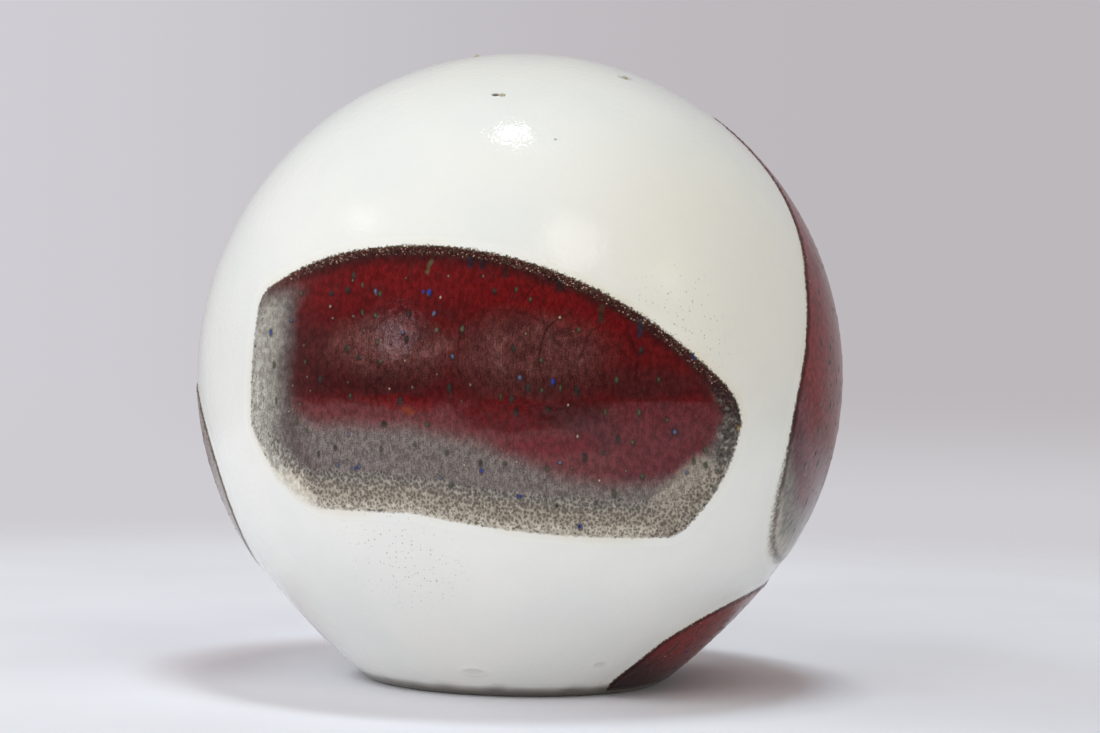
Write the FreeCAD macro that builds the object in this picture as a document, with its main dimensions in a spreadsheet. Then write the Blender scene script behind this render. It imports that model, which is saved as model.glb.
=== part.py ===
import FreeCAD, Part
import math
import os

import Sketcher

# A hollow glazed stoneware ball on a small flat foot, decorated with broad brush strokes of copper-red glaze.
# Millimetres, +Z up, the front stroke faces -Y. The origin is the middle of the foot, where the ball stands.
# The clay body is two bowls joined rim to rim: slip between the rims, and a coil of clay in a groove outside.

SIZES = {
    "glaze_radius": 46.0,        # outside of the white glaze: a 92 mm ball
    "centre_height": 43.5,       # the ball's centre above the foot, so 2.5 mm is flattened away
    "flank_angle": 50.0,         # degrees from straight down where the sphere runs into the straighter flank
    "flank_radius": 110.0,       # the flank's own large radius
    "foot_round": 2.5,           # radius between the flank and the foot
    "glaze_thick": 0.45,
    "clay_thick": 6.0,
    "slip_thick": 0.5,
    "bead_rise": 1.2,            # the squeezed-out bead climbs this far above and below the joint
    "bead_radius": 1.5,
    "groove_deep": 3.0,          # the groove around the joint that the coil fills
    "groove_half_wide": 2.5,
    "vent_radius": 1.5,          # the hole in the foot that lets air and steam out in the kiln
    "stroke_thick": 0.25,        # a brush stroke stands this far proud of the white glaze
    "stroke_gap": 0.4,           # strokes end this high above the foot
    "stamp_start": 15.0,         # an outline's prism begins this far from the ball's centre
    "stamp_long": 36.0,
    "crumb_base_radius": 0.9,    # the crumbs that a three-pointed kiln stilt left in the glaze
    "crumb_top_radius": 0.35,
    "crumb_long": 0.65,
    "crumb_sunk": 0.25,
}

# Each stroke's middle: degrees round the ball from the front towards the right, and degrees above its equator.
# The outline is seen from outside along that direction, counter-clockwise. A row is (across, up, radius), the
# radius of the arc to the next point: 0 is a straight edge and a negative radius bends inwards.
STROKES = {
    "front_stroke": (-6.0, 0.0, [
        (-32.3, 9.0, 120.0),
        (-32.9, -6.5, 18.0),
        (-22.5, -17.1, 0.0),
        (-9.0, -17.0, 167.0),
        (22.5, -19.8, 4.0),
        (26.5, -18.0, 24.0),
        (33.0, -4.5, 9.0),
        (30.0, 1.5, 55.0),
        (5.5, 16.2, 53.0),
        (-19.5, 17.0, 32.0),
        (-29.5, 12.8, 4.5),
    ]),
    "right_stroke": (88.0, 8.0, [
        (-4.5, 31.2, -90.0),
        (-18.2, 9.5, 80.0),
        (-25.4, -6.5, 26.0),
        (-25.2, -17.5, 16.0),
        (-18.5, -27.3, 26.0),
        (-6.0, -30.5, 14.0),
        (6.0, -25.0, 25.0),
        (12.5, -10.0, 90.0),
        (11.5, 24.0, 12.0),
        (4.0, 33.0, 7.0),
    ]),
    "lower_right_stroke": (75.0, -58.0, [
        (-16.2, 2.5, 60.0),
        (-15.6, -5.8, 4.0),
        (-11.0, -9.0, 60.0),
        (5.0, -13.0, 40.0),
        (21.0, -7.0, 12.0),
        (27.0, 5.0, 12.0),
        (20.0, 13.5, 60.0),
        (4.0, 15.7, 26.0),
        (-9.8, 12.1, 16.0),
    ]),
    "left_stroke": (-95.0, -20.0, [
        (11.0, 13.0, 60.0),
        (-4.0, 15.0, 60.0),
        (-24.0, 10.5, 14.0),
        (-31.0, -2.0, 12.0),
        (-24.0, -13.0, 90.0),
        (3.0, -15.0, 14.0),
        (13.5, -9.5, 16.0),
        (17.8, 2.4, 14.0),
    ]),
    "back_stroke": (168.0, 6.0, [
        (-29.0, -1.0, 12.0),
        (-22.0, -16.0, 120.0),
        (-3.0, -18.5, 90.0),
        (23.0, -15.0, 14.0),
        (30.5, -5.0, 40.0),
        (30.0, 10.0, 8.0),
        (23.0, 17.5, 60.0),
        (-2.0, 17.5, 60.0),
        (-26.5, 7.5, 8.0),
    ]),
}

# The stilt's three points, given the same way as a stroke's middle.
CRUMBS = [(-7.4, 57.2), (-58.0, 79.5), (47.9, 66.3)]

# Formulas in the sheet's own names that several sketches share.
FLANK_OFFSET = "(Sizes.flank_radius - Sizes.glaze_radius)"
UNDER_GLAZE = "Sizes.glaze_thick"
INSIDE_CLAY = "(Sizes.glaze_thick + Sizes.clay_thick)"
ON_GLAZE = "0"
ON_STROKE = "(-Sizes.stroke_thick)"
RIM_ABOVE = "Sizes.centre_height + Sizes.slip_thick / 2"
RIM_BELOW = "Sizes.centre_height - Sizes.slip_thick / 2"
LIP_ABOVE = "Sizes.centre_height + Sizes.groove_half_wide"
LIP_BELOW = "Sizes.centre_height - Sizes.groove_half_wide"
GROOVE_FLOOR = "Sizes.glaze_radius - Sizes.glaze_thick - Sizes.groove_deep"

UP = FreeCAD.Vector(0, 0, 1)
START, END, CENTRE = 1, 2, 3     # the sketcher's numbers for the points of an edge
AXIS_X, AXIS_Y = -1, -2          # and for a sketch's own two axes
SMALL = 1e-6

doc = FreeCAD.newDocument("glazed_ball")
sheet = doc.addObject("Spreadsheet::Sheet", "Sizes")


def fill_sheet():
    """Put every driving dimension and every outline point into the sheet, each under its alias."""
    cells = dict(SIZES)
    for stroke, (around, above, points) in STROKES.items():
        cells[stroke + "_around"] = around
        cells[stroke + "_above"] = above
        for place, row in enumerate(points):
            for axis, value in zip(("across", "up", "arc"), row):
                cells["%s_%s_%d" % (stroke, axis, place)] = value
    for place, (around, above) in enumerate(CRUMBS):
        cells["crumb_around_%d" % place] = around
        cells["crumb_above_%d" % place] = above
    for row, (alias, value) in enumerate(cells.items(), 1):
        sheet.set("A%d" % row, alias)
        sheet.set("B%d" % row, str(value))
        sheet.setAlias("B%d" % row, alias)
    doc.recompute()


def number(formula):
    """The value of a formula written in the sheet's names."""
    return float(sheet.evalExpression(formula))


class Drawing:
    """A sketch on one of a body's origin planes, whose every size is bound to the sheet by a formula."""

    def __init__(self, body, name, role):
        self.sketch = body.newObject("Sketcher::SketchObject", name)
        plane = [feature for feature in body.Origin.OriginFeatures if feature.Role == role][0]
        self.sketch.AttachmentSupport = [(plane, "")]
        self.sketch.MapMode = "FlatFace"

    def line(self, start, end):
        """Add a straight edge between two (x, y) points."""
        ends = [FreeCAD.Vector(*point, 0) for point in (start, end)]
        return self.sketch.addGeometry(Part.LineSegment(*ends), False)

    def arc(self, middle, start, end):
        """Add a counter-clockwise arc about a middle from one point to another."""
        radius = math.dist(middle, start)
        first, last = [math.atan2(y - middle[1], x - middle[0]) for x, y in (start, end)]
        if last < first:
            last += 2 * math.pi
        circle = Part.Circle(FreeCAD.Vector(*middle, 0), UP, radius)
        return self.sketch.addGeometry(Part.ArcOfCircle(circle, first, last), False)

    def fix(self, kind, *places):
        """Add a constraint that has no size."""
        self.sketch.addConstraint(Sketcher.Constraint(kind, *places))

    def bind(self, kind, formula, *places):
        """Add a constraint whose size follows a formula."""
        place = self.sketch.addConstraint(Sketcher.Constraint(kind, *places, number(formula)))
        self.sketch.setExpression("Constraints[%d]" % place, formula)

    def put(self, edge, point, across, up):
        """Bind both coordinates of one point of an edge."""
        self.bind("DistanceX", across, edge, point)
        self.bind("DistanceY", up, edge, point)

    def skin_arcs(self, depth, top, bottom):
        """The ball's surface moved inwards by a depth: the sphere's arc and the flank's, tangent to each other.

        The sphere's arc runs up to the axis, or to the height top. The flank's arc runs down to the height bottom,
        or is left loose for a foot round.
        """
        radius = number("Sizes.glaze_radius - " + depth)
        centre = number("Sizes.centre_height")
        flank_radius = number("Sizes.flank_radius - " + depth)
        angle = math.radians(number("Sizes.flank_angle"))
        flank = (-number(FLANK_OFFSET) * math.sin(angle), centre + number(FLANK_OFFSET) * math.cos(angle))
        join = (radius * math.sin(angle), centre - radius * math.cos(angle))
        rise = number(top) - centre if top else radius
        peak = (math.sqrt(max(radius ** 2 - rise ** 2, 0)), centre + rise)
        drop = flank[1] - number(bottom or depth)
        low = (flank[0] + math.sqrt(flank_radius ** 2 - drop ** 2), flank[1] - drop)

        sphere = self.arc((0, centre), join, peak)
        self.fix("PointOnObject", sphere, CENTRE, AXIS_Y)
        self.bind("DistanceY", "Sizes.centre_height", sphere, CENTRE)
        self.bind("Radius", "Sizes.glaze_radius - " + depth, sphere)
        self.bind("DistanceX", "(Sizes.glaze_radius - %s) * sin(Sizes.flank_angle)" % depth, sphere, START)
        if top:
            self.bind("DistanceY", top, sphere, END)
        else:
            self.fix("PointOnObject", sphere, END, AXIS_Y)
        flank_edge = self.arc(flank, low, join)
        self.fix("Tangent", flank_edge, END, sphere, START)
        self.bind("Radius", "Sizes.flank_radius - " + depth, flank_edge)
        if bottom:
            self.bind("DistanceY", bottom, flank_edge, START)
        return sphere, flank_edge, low

    def foot_line(self, depth, flank_edge, low, rounded):
        """The flat foot at a depth, from the flank to the axis, with or without the round between them."""
        inset = number("Sizes.foot_round") / 2 if rounded else 0
        foot = self.line((low[0] - inset, number(depth)), (0, number(depth)))
        self.fix("Horizontal", foot)
        self.fix("PointOnObject", foot, END, AXIS_Y)
        if not rounded:
            self.fix("Coincident", foot, START, flank_edge, START)
            return foot
        turn = "Sizes.foot_round - " + depth
        radius = number(turn)
        centre = (low[0] - inset, number(depth) + radius)
        corner = self.arc(centre, (centre[0], centre[1] - radius), (centre[0] + radius / 2, centre[1] - radius / 2))
        self.bind("Radius", turn, corner)
        self.fix("Tangent", corner, END, flank_edge, START)
        self.fix("Tangent", foot, START, corner, START)
        if number(depth) > 0:
            self.bind("DistanceY", depth, foot, END)
        else:
            self.fix("PointOnObject", foot, START, AXIS_X)
        return foot

    def join(self, first, first_point, second, second_point):
        """Close a gap with a straight edge between the points of two edges."""
        ends = [self.sketch.getPoint(first, first_point), self.sketch.getPoint(second, second_point)]
        edge = self.line(*[(end.x, end.y) for end in ends])
        self.fix("Coincident", edge, START, first, first_point)
        self.fix("Coincident", edge, END, second, second_point)
        return edge


def new_body(label):
    """An empty body with its label."""
    body = doc.addObject("PartDesign::Body", label)
    body.Label = label
    return body


def revolve(body, drawing):
    """Turn a half section about the upright axis into the body's solid."""
    turned = body.newObject("PartDesign::Revolution", body.Name + "_turned")
    turned.Profile = drawing.sketch
    turned.ReferenceAxis = (drawing.sketch, ["V_Axis"])
    turned.Angle = 360
    body.Tip = turned
    doc.recompute()
    return body


def drill_vent(body):
    """Bore the vent hole up through the foot, and make sure that clay or glaze really went."""
    before = body.Shape.Volume
    drawing = Drawing(body, body.Name + "_vent", "XY_Plane")
    ring = drawing.sketch.addGeometry(Part.Circle(FreeCAD.Vector(0, 0, 0), UP, number("Sizes.vent_radius")), False)
    drawing.fix("Coincident", ring, CENTRE, AXIS_X, START)
    drawing.bind("Radius", "Sizes.vent_radius", ring)
    vent = body.newObject("PartDesign::Pocket", body.Name + "_bored")
    vent.Profile = drawing.sketch
    vent.Reversed = True
    vent.setExpression("Length", "Sizes.clay_thick * 2")
    body.Tip = vent
    doc.recompute()
    if body.Shape.Volume > before - SMALL:
        raise RuntimeError(body.Name + ": the vent hole cut nothing")
    return body


def make_glaze_coat():
    """The coat of white glaze over the whole body, before the stilt's crumbs sink into it."""
    body = new_body("glaze_coat_unmarked")
    drawing = Drawing(body, "glaze_coat_section", "XZ_Plane")
    outer, outer_flank, outer_low = drawing.skin_arcs(ON_GLAZE, None, None)
    outer_foot = drawing.foot_line(ON_GLAZE, outer_flank, outer_low, True)
    inner, inner_flank, inner_low = drawing.skin_arcs(UNDER_GLAZE, None, None)
    inner_foot = drawing.foot_line(UNDER_GLAZE, inner_flank, inner_low, True)
    drawing.join(outer, END, inner, END)
    drawing.join(outer_foot, END, inner_foot, END)
    return drill_vent(revolve(body, drawing))


def make_lower_half():
    """The lower bowl of clay, with the flat foot, the vent hole and a bevelled rim."""
    body = new_body("lower_clay_half")
    drawing = Drawing(body, "lower_section", "XZ_Plane")
    outer, outer_flank, outer_low = drawing.skin_arcs(UNDER_GLAZE, LIP_BELOW, None)
    outer_foot = drawing.foot_line(UNDER_GLAZE, outer_flank, outer_low, True)
    inner, inner_flank, inner_low = drawing.skin_arcs(INSIDE_CLAY, RIM_BELOW, INSIDE_CLAY)
    inner_foot = drawing.foot_line(INSIDE_CLAY, inner_flank, inner_low, False)
    drawing.join(outer_foot, END, inner_foot, END)
    add_rim(drawing, outer, END, inner, END, RIM_BELOW)
    return drill_vent(revolve(body, drawing))


def add_rim(drawing, outer, outer_point, inner, inner_point, height):
    """The bevel of the groove and the flat of the rim, between the outer and the inner arc."""
    floor = (number(GROOVE_FLOOR), number(height))
    lip = drawing.sketch.getPoint(outer, outer_point)
    edge = drawing.sketch.getPoint(inner, inner_point)
    bevel = drawing.line((lip.x, lip.y), floor)
    flat = drawing.line(floor, (edge.x, edge.y))
    drawing.fix("Coincident", bevel, START, outer, outer_point)
    drawing.fix("Coincident", flat, START, bevel, END)
    drawing.fix("Coincident", flat, END, inner, inner_point)
    drawing.put(bevel, END, GROOVE_FLOOR, height)


def cap_arc(drawing, depth, height):
    """The sphere's arc at a depth, from a height up to the axis."""
    radius = number("Sizes.glaze_radius - " + depth)
    centre = number("Sizes.centre_height")
    rise = number(height) - centre
    start = (math.sqrt(radius ** 2 - rise ** 2), centre + rise)
    edge = drawing.arc((0, centre), start, (0, centre + radius))
    drawing.fix("PointOnObject", edge, CENTRE, AXIS_Y)
    drawing.bind("DistanceY", "Sizes.centre_height", edge, CENTRE)
    drawing.bind("Radius", "Sizes.glaze_radius - " + depth, edge)
    drawing.bind("DistanceY", height, edge, START)
    drawing.fix("PointOnObject", edge, END, AXIS_Y)
    return edge


def make_upper_half():
    """The upper bowl of clay, rim down."""
    body = new_body("upper_clay_half")
    drawing = Drawing(body, "upper_section", "XZ_Plane")
    outer = cap_arc(drawing, UNDER_GLAZE, LIP_ABOVE)
    inner = cap_arc(drawing, INSIDE_CLAY, RIM_ABOVE)
    drawing.join(outer, END, inner, END)
    add_rim(drawing, outer, START, inner, START, RIM_ABOVE)
    return revolve(body, drawing)


def band_arc(drawing, depth, low, high):
    """The sphere's arc at a depth between two heights on either side of the joint."""
    radius = number("Sizes.glaze_radius - " + depth)
    centre = number("Sizes.centre_height")
    ends = []
    for height in (low, high):
        rise = number(height) - centre
        ends.append((math.sqrt(radius ** 2 - rise ** 2), centre + rise))
    edge = drawing.arc((0, centre), *ends)
    drawing.fix("PointOnObject", edge, CENTRE, AXIS_Y)
    drawing.bind("DistanceY", "Sizes.centre_height", edge, CENTRE)
    drawing.bind("Radius", "Sizes.glaze_radius - " + depth, edge)
    drawing.bind("DistanceY", low, edge, START)
    drawing.bind("DistanceY", high, edge, END)
    return edge


def make_slip():
    """The slip between the two rims, with the bead that was squeezed out along the inner wall."""
    body = new_body("joining_slip")
    drawing = Drawing(body, "slip_section", "XZ_Plane")
    above = band_arc(drawing, INSIDE_CLAY, RIM_ABOVE, "Sizes.centre_height + Sizes.bead_rise")
    below = band_arc(drawing, INSIDE_CLAY, "Sizes.centre_height - Sizes.bead_rise", RIM_BELOW)
    floor = number(GROOVE_FLOOR)
    top = drawing.sketch.getPoint(above, START)
    low = drawing.sketch.getPoint(below, END)
    upper = drawing.line((top.x, top.y), (floor, top.y))
    outside = drawing.line((floor, top.y), (floor, low.y))
    lower = drawing.line((floor, low.y), (low.x, low.y))
    drawing.fix("Coincident", upper, START, above, START)
    drawing.fix("Coincident", outside, START, upper, END)
    drawing.fix("Coincident", lower, START, outside, END)
    drawing.fix("Coincident", lower, END, below, END)
    drawing.fix("Horizontal", upper)
    drawing.fix("Horizontal", lower)
    drawing.fix("Vertical", outside)
    drawing.bind("DistanceX", GROOVE_FLOOR, upper, END)
    tip = drawing.sketch.getPoint(above, END)
    tail = drawing.sketch.getPoint(below, START)
    radius = number("Sizes.bead_radius")
    half = (tip.y - tail.y) / 2
    middle = (tip.x + math.sqrt(radius ** 2 - half ** 2), number("Sizes.centre_height"))
    bead = drawing.arc(middle, (tip.x, tip.y), (tail.x, tail.y))
    drawing.fix("Coincident", bead, START, above, END)
    drawing.fix("Coincident", bead, END, below, START)
    drawing.bind("Radius", "Sizes.bead_radius", bead)
    return revolve(body, drawing)


def make_coil():
    """The coil of clay pressed into the groove around the joint and smoothed flush."""
    body = new_body("seam_coil")
    drawing = Drawing(body, "coil_section", "XZ_Plane")
    outside = band_arc(drawing, UNDER_GLAZE, LIP_BELOW, LIP_ABOVE)
    floor = number(GROOVE_FLOOR)
    top = drawing.sketch.getPoint(outside, END)
    low = drawing.sketch.getPoint(outside, START)
    upper = drawing.line((top.x, top.y), (floor, number(RIM_ABOVE)))
    inside = drawing.line((floor, number(RIM_ABOVE)), (floor, number(RIM_BELOW)))
    lower = drawing.line((floor, number(RIM_BELOW)), (low.x, low.y))
    drawing.fix("Coincident", upper, START, outside, END)
    drawing.fix("Coincident", inside, START, upper, END)
    drawing.fix("Coincident", lower, START, inside, END)
    drawing.fix("Coincident", lower, END, outside, START)
    drawing.put(upper, END, GROOVE_FLOOR, RIM_ABOVE)
    drawing.put(inside, END, GROOVE_FLOOR, RIM_BELOW)
    return revolve(body, drawing)


def make_stroke_layer():
    """The thin layer on the glaze that every brush stroke is a part of, open at the foot."""
    body = new_body("stroke_layer")
    drawing = Drawing(body, "stroke_layer_section", "XZ_Plane")
    outer, outer_flank, _ = drawing.skin_arcs(ON_STROKE, None, "Sizes.stroke_gap")
    inner, inner_flank, _ = drawing.skin_arcs(ON_GLAZE, None, "Sizes.stroke_gap")
    drawing.join(outer, END, inner, END)
    drawing.join(outer_flank, START, inner_flank, START)
    return revolve(body, drawing)


def facing(around, above, distance):
    """A placement on the line from the ball's centre outwards: x to the right, y up, z outwards."""
    turn = math.radians(around)
    lift = math.radians(above)
    outward = FreeCAD.Vector(math.sin(turn) * math.cos(lift), -math.cos(turn) * math.cos(lift), math.sin(lift))
    right = UP.cross(outward)
    base = UP * number("Sizes.centre_height") + outward * distance
    return FreeCAD.Placement(base, FreeCAD.Rotation(right, outward.cross(right), outward, "ZXY"))


def make_stamp(stroke):
    """A stroke's outline as a prism that points outwards from the ball's centre."""
    body = new_body(stroke + "_stamp")
    around, above = [number("Sizes.%s_%s" % (stroke, angle)) for angle in ("around", "above")]
    body.Placement = facing(around, above, 0)
    drawing = Drawing(body, stroke + "_outline", "XY_Plane")
    drawing.sketch.setExpression("AttachmentOffset.Base.z", "Sizes.stamp_start")
    rows = len(STROKES[stroke][2])
    names = [["Sizes.%s_%s_%d" % (stroke, axis, row) for axis in ("across", "up", "arc")] for row in range(rows)]
    edges = []
    for row in range(rows):
        start = [number(name) for name in names[row][:2]]
        end = [number(name) for name in names[(row + 1) % rows][:2]]
        edges.append(add_outline_edge(drawing, start, end, names[row][2]))
    for row in range(rows):
        edge, first, last = edges[row]
        drawing.put(edge, first, *names[row][:2])
        following, next_first, _ = edges[(row + 1) % rows]
        drawing.fix("Coincident", edge, last, following, next_first)
    pad = body.newObject("PartDesign::Pad", stroke + "_prism")
    pad.Profile = drawing.sketch
    pad.setExpression("Length", "Sizes.stamp_long")
    body.Tip = pad
    doc.recompute()
    return body


def add_outline_edge(drawing, start, end, radius_name):
    """One edge of an outline, and which of its ends is the first and which the last on the way round."""
    radius = number(radius_name)
    if radius == 0:
        return drawing.line(start, end), START, END
    half = math.dist(start, end) / 2
    reach = math.sqrt(radius ** 2 - half ** 2)
    across, up = [(last - first) / (2 * half) for first, last in zip(start, end)]
    side = math.copysign(reach, radius)
    middle = ((start[0] + end[0]) / 2 - up * side, (start[1] + end[1]) / 2 + across * side)
    if radius > 0:
        edge, first, last = drawing.arc(middle, start, end), START, END
        formula = radius_name
    else:
        edge, first, last = drawing.arc(middle, end, start), END, START
        formula = "-" + radius_name
    drawing.bind("Radius", formula, edge)
    return edge, first, last


def make_stroke(stroke, layer):
    """A brush stroke: the part of the layer inside the stroke's outline."""
    piece = doc.addObject("Part::Common", stroke)
    piece.Label = stroke
    piece.Base = layer
    piece.Tool = make_stamp(stroke)
    return piece


def make_crumbs():
    """Three crumbs of kiln stilt, small cones half sunk into the glaze."""
    cones = []
    for place in range(len(CRUMBS)):
        cone = doc.addObject("Part::Cone", "stilt_crumb_%d" % place)
        cone.setExpression("Radius1", "Sizes.crumb_base_radius")
        cone.setExpression("Radius2", "Sizes.crumb_top_radius")
        cone.setExpression("Height", "Sizes.crumb_long")
        around, above = [number("Sizes.crumb_%s_%d" % (angle, place)) for angle in ("around", "above")]
        cone.Placement = facing(around, above, number("Sizes.glaze_radius - Sizes.crumb_sunk"))
        cones.append(cone)
    group = doc.addObject("Part::MultiFuse", "stilt_crumbs")
    group.Label = "stilt_crumbs"
    group.Shapes = cones
    return group


def make_marked_coat(coat, crumbs):
    """The white glaze with the pits that the stilt's crumbs sit in."""
    piece = doc.addObject("Part::Cut", "white_glaze_coat")
    piece.Label = "white_glaze_coat"
    piece.Base = coat
    piece.Tool = crumbs
    return piece


def check_and_write(pieces):
    """Stop on anything that failed to build, then write one file for each piece."""
    doc.recompute()
    for item in doc.Objects:
        if "Invalid" in item.State or "Error" in item.State:
            raise RuntimeError("%s didn't build: %s" % (item.Name, item.State))
    os.makedirs("parts", exist_ok=True)
    for piece in pieces:
        shape = piece.Shape
        if shape.isNull() or not shape.isValid() or not shape.Solids:
            raise RuntimeError(piece.Label + " has no valid solid")
    for piece in pieces:
        piece.Shape.exportStep("parts/%s.step" % piece.Label)
        box = piece.Shape.BoundBox
        facts = (piece.Label, len(piece.Shape.Solids), piece.Shape.Volume, box.ZMin, box.ZMax)
        print("%-20s solids %d  volume %10.1f  z %7.2f to %6.2f" % facts)


fill_sheet()
crumbs = make_crumbs()
coat = make_glaze_coat()
layer = make_stroke_layer()
check_and_write(
    [make_upper_half(), make_lower_half(), make_slip(), make_coil(), make_marked_coat(coat, crumbs), crumbs]
    + [make_stroke(stroke, layer) for stroke in STROKES]
)
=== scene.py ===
"""The looks of the glazed ceramic ball.

Everything stands in the CAD's frame, in metres: the foot is on z = 0 and the camera looks along +Y.
A place on the ball is given as (around, above) in degrees: around from the front towards the right, and
above the horizon of the ball's centre. Glaze is measured in millimetres, and MM turns those into metres.
"""
import itertools
import math

import bmesh
import bpy
import numpy as np
from mathutils import Matrix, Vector
from mathutils.geometry import delaunay_2d_cdt
from mathutils.kdtree import KDTree


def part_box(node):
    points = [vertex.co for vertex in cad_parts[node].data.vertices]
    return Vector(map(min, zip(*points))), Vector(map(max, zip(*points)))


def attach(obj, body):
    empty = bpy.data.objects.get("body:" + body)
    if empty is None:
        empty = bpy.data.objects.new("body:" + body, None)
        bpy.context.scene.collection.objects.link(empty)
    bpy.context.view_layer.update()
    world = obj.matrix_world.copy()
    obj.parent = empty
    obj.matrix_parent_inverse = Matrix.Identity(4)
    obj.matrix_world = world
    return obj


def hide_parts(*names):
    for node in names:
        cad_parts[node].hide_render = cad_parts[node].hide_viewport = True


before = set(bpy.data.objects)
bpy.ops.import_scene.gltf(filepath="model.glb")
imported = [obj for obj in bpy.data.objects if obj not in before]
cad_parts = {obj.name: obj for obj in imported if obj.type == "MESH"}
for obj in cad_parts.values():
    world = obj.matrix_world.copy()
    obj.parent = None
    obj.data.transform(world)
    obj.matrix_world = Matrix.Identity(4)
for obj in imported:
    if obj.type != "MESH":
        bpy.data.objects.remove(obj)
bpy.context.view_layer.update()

MM = 0.001

# The ball's profile, as the CAD has it
COAT_BOX = [np.array(corner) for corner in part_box("white_glaze_coat")]
BALL_RADIUS = round((COAT_BOX[1][0] - COAT_BOX[0][0]) / 2, 4)
CENTRE_HEIGHT = round(COAT_BOX[1][2] - BALL_RADIUS, 4)
CENTRE = np.array([0.0, 0.0, CENTRE_HEIGHT])
FLANK_ANGLE = math.radians(50)
FLANK_RADIUS = 110 * MM
FOOT_ROUND = 2.5 * MM
VENT_RADIUS = 1.5 * MM
COAT_THICK = 0.4 * MM  # a little less than the CAD has, to stay clear of the clay

# How finely it is meshed: columns round the axis, and rows down the ball, round the foot's edge and under it
COLUMNS = 320
BALL_ROWS = 155
ROUND_ROWS = 9
FOOT_ROWS = 14

# The direction that each stroke faces, and the seed of its chance details
STROKES = {
    "front_stroke": (-6, 0, 11),
    "right_stroke": (88, 8, 23),
    "lower_right_stroke": (75, -58, 37),
    "left_stroke": (-95, -20, 41),
    "back_stroke": (168, 6, 59),
}
FEATHER = 1.2  # mm of bare film that a stroke has outside its edge
FILM = 0.012  # mm that the film stands above the white glaze
BODY = 0.16  # mm that the stroke's middle stands above it
SUNK = 0.15  # mm that its underside lies in it
OUTLINE_STEP = 0.5  # mm between the points of a stroke's outline
RIM_STEP = 0.3  # mm between the points of its film's edge
SKIN_STEPS = (0.30, 0.14, 0.10)  # mm between the points of its skin, from the middle to the finest
UNDER_STEP = 2.2  # mm between the points of its underside
GRID_STEP = 0.25  # mm between the distances that are stored over its plane
SPOTS_APART = 1.6  # mm
SPOTS_INSET = 3.2  # mm that chance spots keep from the stroke's edge
MOST_SPOTS = 105
GRAIN_STEP = 0.30  # mm between the burnt grains along its edge
PALE_GLINT_GRAINS = 0.3  # the share of them that is pale, painted as glints of light on the grains

WHITE_ROUGH = 0.11
RED_ROUGH = 0.17
GLAZE_IOR = 1.5

CRUMB_SIZE = np.array([0.42, 0.36, 0.24])  # half its length, width and height in mm
STILT_CRUMBS = [(-7.4, 57.2), (-58.0, 79.5), (47.9, 66.3)]


def srgb(red, green, blue):
    """A colour given as 0 to 255 on a screen, as the linear light that shaders work with."""
    values = np.array([red, green, blue]) / 255
    return np.where(values < 0.04045, values / 12.92, ((values + 0.055) / 1.055) ** 2.4)


# ---- numbers over points


def ramp(value, low, high):
    """0 below low, 1 above high and smooth in between. low may be the larger."""
    part = np.clip((value - low) / (high - low), 0, 1)
    return part * part * (3 - 2 * part)


def unit(vectors):
    return vectors / np.linalg.norm(vectors, axis=-1, keepdims=True)


def scramble(cell, seed):
    """Three chance numbers from -1 to 1 for each whole-number cell, always the same for the same seed."""
    key = cell[:, 0] * 374761393 + cell[:, 1] * 668265263 + cell[:, 2] * 1440662683 + seed * 1274126177
    key = (key ^ (key >> 13)) * 1103515245
    key = (key ^ (key >> 17)) * 747796405
    key ^= key >> 15
    return np.stack([(key >> shift) & 1023 for shift in (2, 13, 24)], axis=1) / 511.5 - 1


def noise(points, size, seed):
    """Smooth chance values, about -1 to 1, whose waves are about size across."""
    place = np.zeros((len(points), 3))
    place[:, :points.shape[1]] = points / size
    cell = np.floor(place).astype(np.int64)
    part = place - cell
    soft = part ** 3 * (part * (part * 6 - 15) + 10)
    total = np.zeros(len(points))
    for corner in itertools.product((0, 1), repeat=3):
        slope = scramble(cell + corner, seed)
        weight = np.prod(np.where(corner, soft, 1 - soft), axis=1)
        total += weight * np.sum(slope * (part - corner), axis=1)
    return np.clip(total * 1.5, -1, 1)


def mottle(points, size, seed, octaves=3):
    """Noise with finer noise on top."""
    return sum(noise(points, size / 2 ** step, seed + step) / 2 ** step for step in range(octaves)) / 1.5


# ---- the ball's surface


def facing(around, above):
    """Unit vectors (across, up, out) at a place on the ball, seen from outside."""
    around, above = math.radians(around), math.radians(above)
    out = np.array([math.sin(around) * math.cos(above), -math.cos(around) * math.cos(above), math.sin(above)])
    across = np.array([math.cos(around), math.sin(around), 0.0])
    return across, np.cross(out, across), out


def circle_distance(down, middle_r, middle_z, radius):
    """Distance from the ball's centre to a circle of the profile, down radians from straight down."""
    along = np.sin(down) * middle_r - np.cos(down) * middle_z
    return along + np.sqrt(np.maximum(along ** 2 - middle_r ** 2 - middle_z ** 2 + radius ** 2, 0))


FLANK_MIDDLE = (
    (BALL_RADIUS - FLANK_RADIUS) * math.sin(FLANK_ANGLE),
    (FLANK_RADIUS - BALL_RADIUS) * math.cos(FLANK_ANGLE),
)
ROUND_Z = FOOT_ROUND - CENTRE_HEIGHT
ROUND_R = FLANK_MIDDLE[0] + math.sqrt((FLANK_RADIUS - FOOT_ROUND) ** 2 - (ROUND_Z - FLANK_MIDDLE[1]) ** 2)
FLAT_ANGLE = math.atan2(ROUND_R, CENTRE_HEIGHT)
ROUND_REACH = FLANK_RADIUS / (FLANK_RADIUS - FOOT_ROUND)
ROUND_ANGLE = math.atan2(
    FLANK_MIDDLE[0] + (ROUND_R - FLANK_MIDDLE[0]) * ROUND_REACH,
    -(FLANK_MIDDLE[1] + (ROUND_Z - FLANK_MIDDLE[1]) * ROUND_REACH),
)


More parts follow.
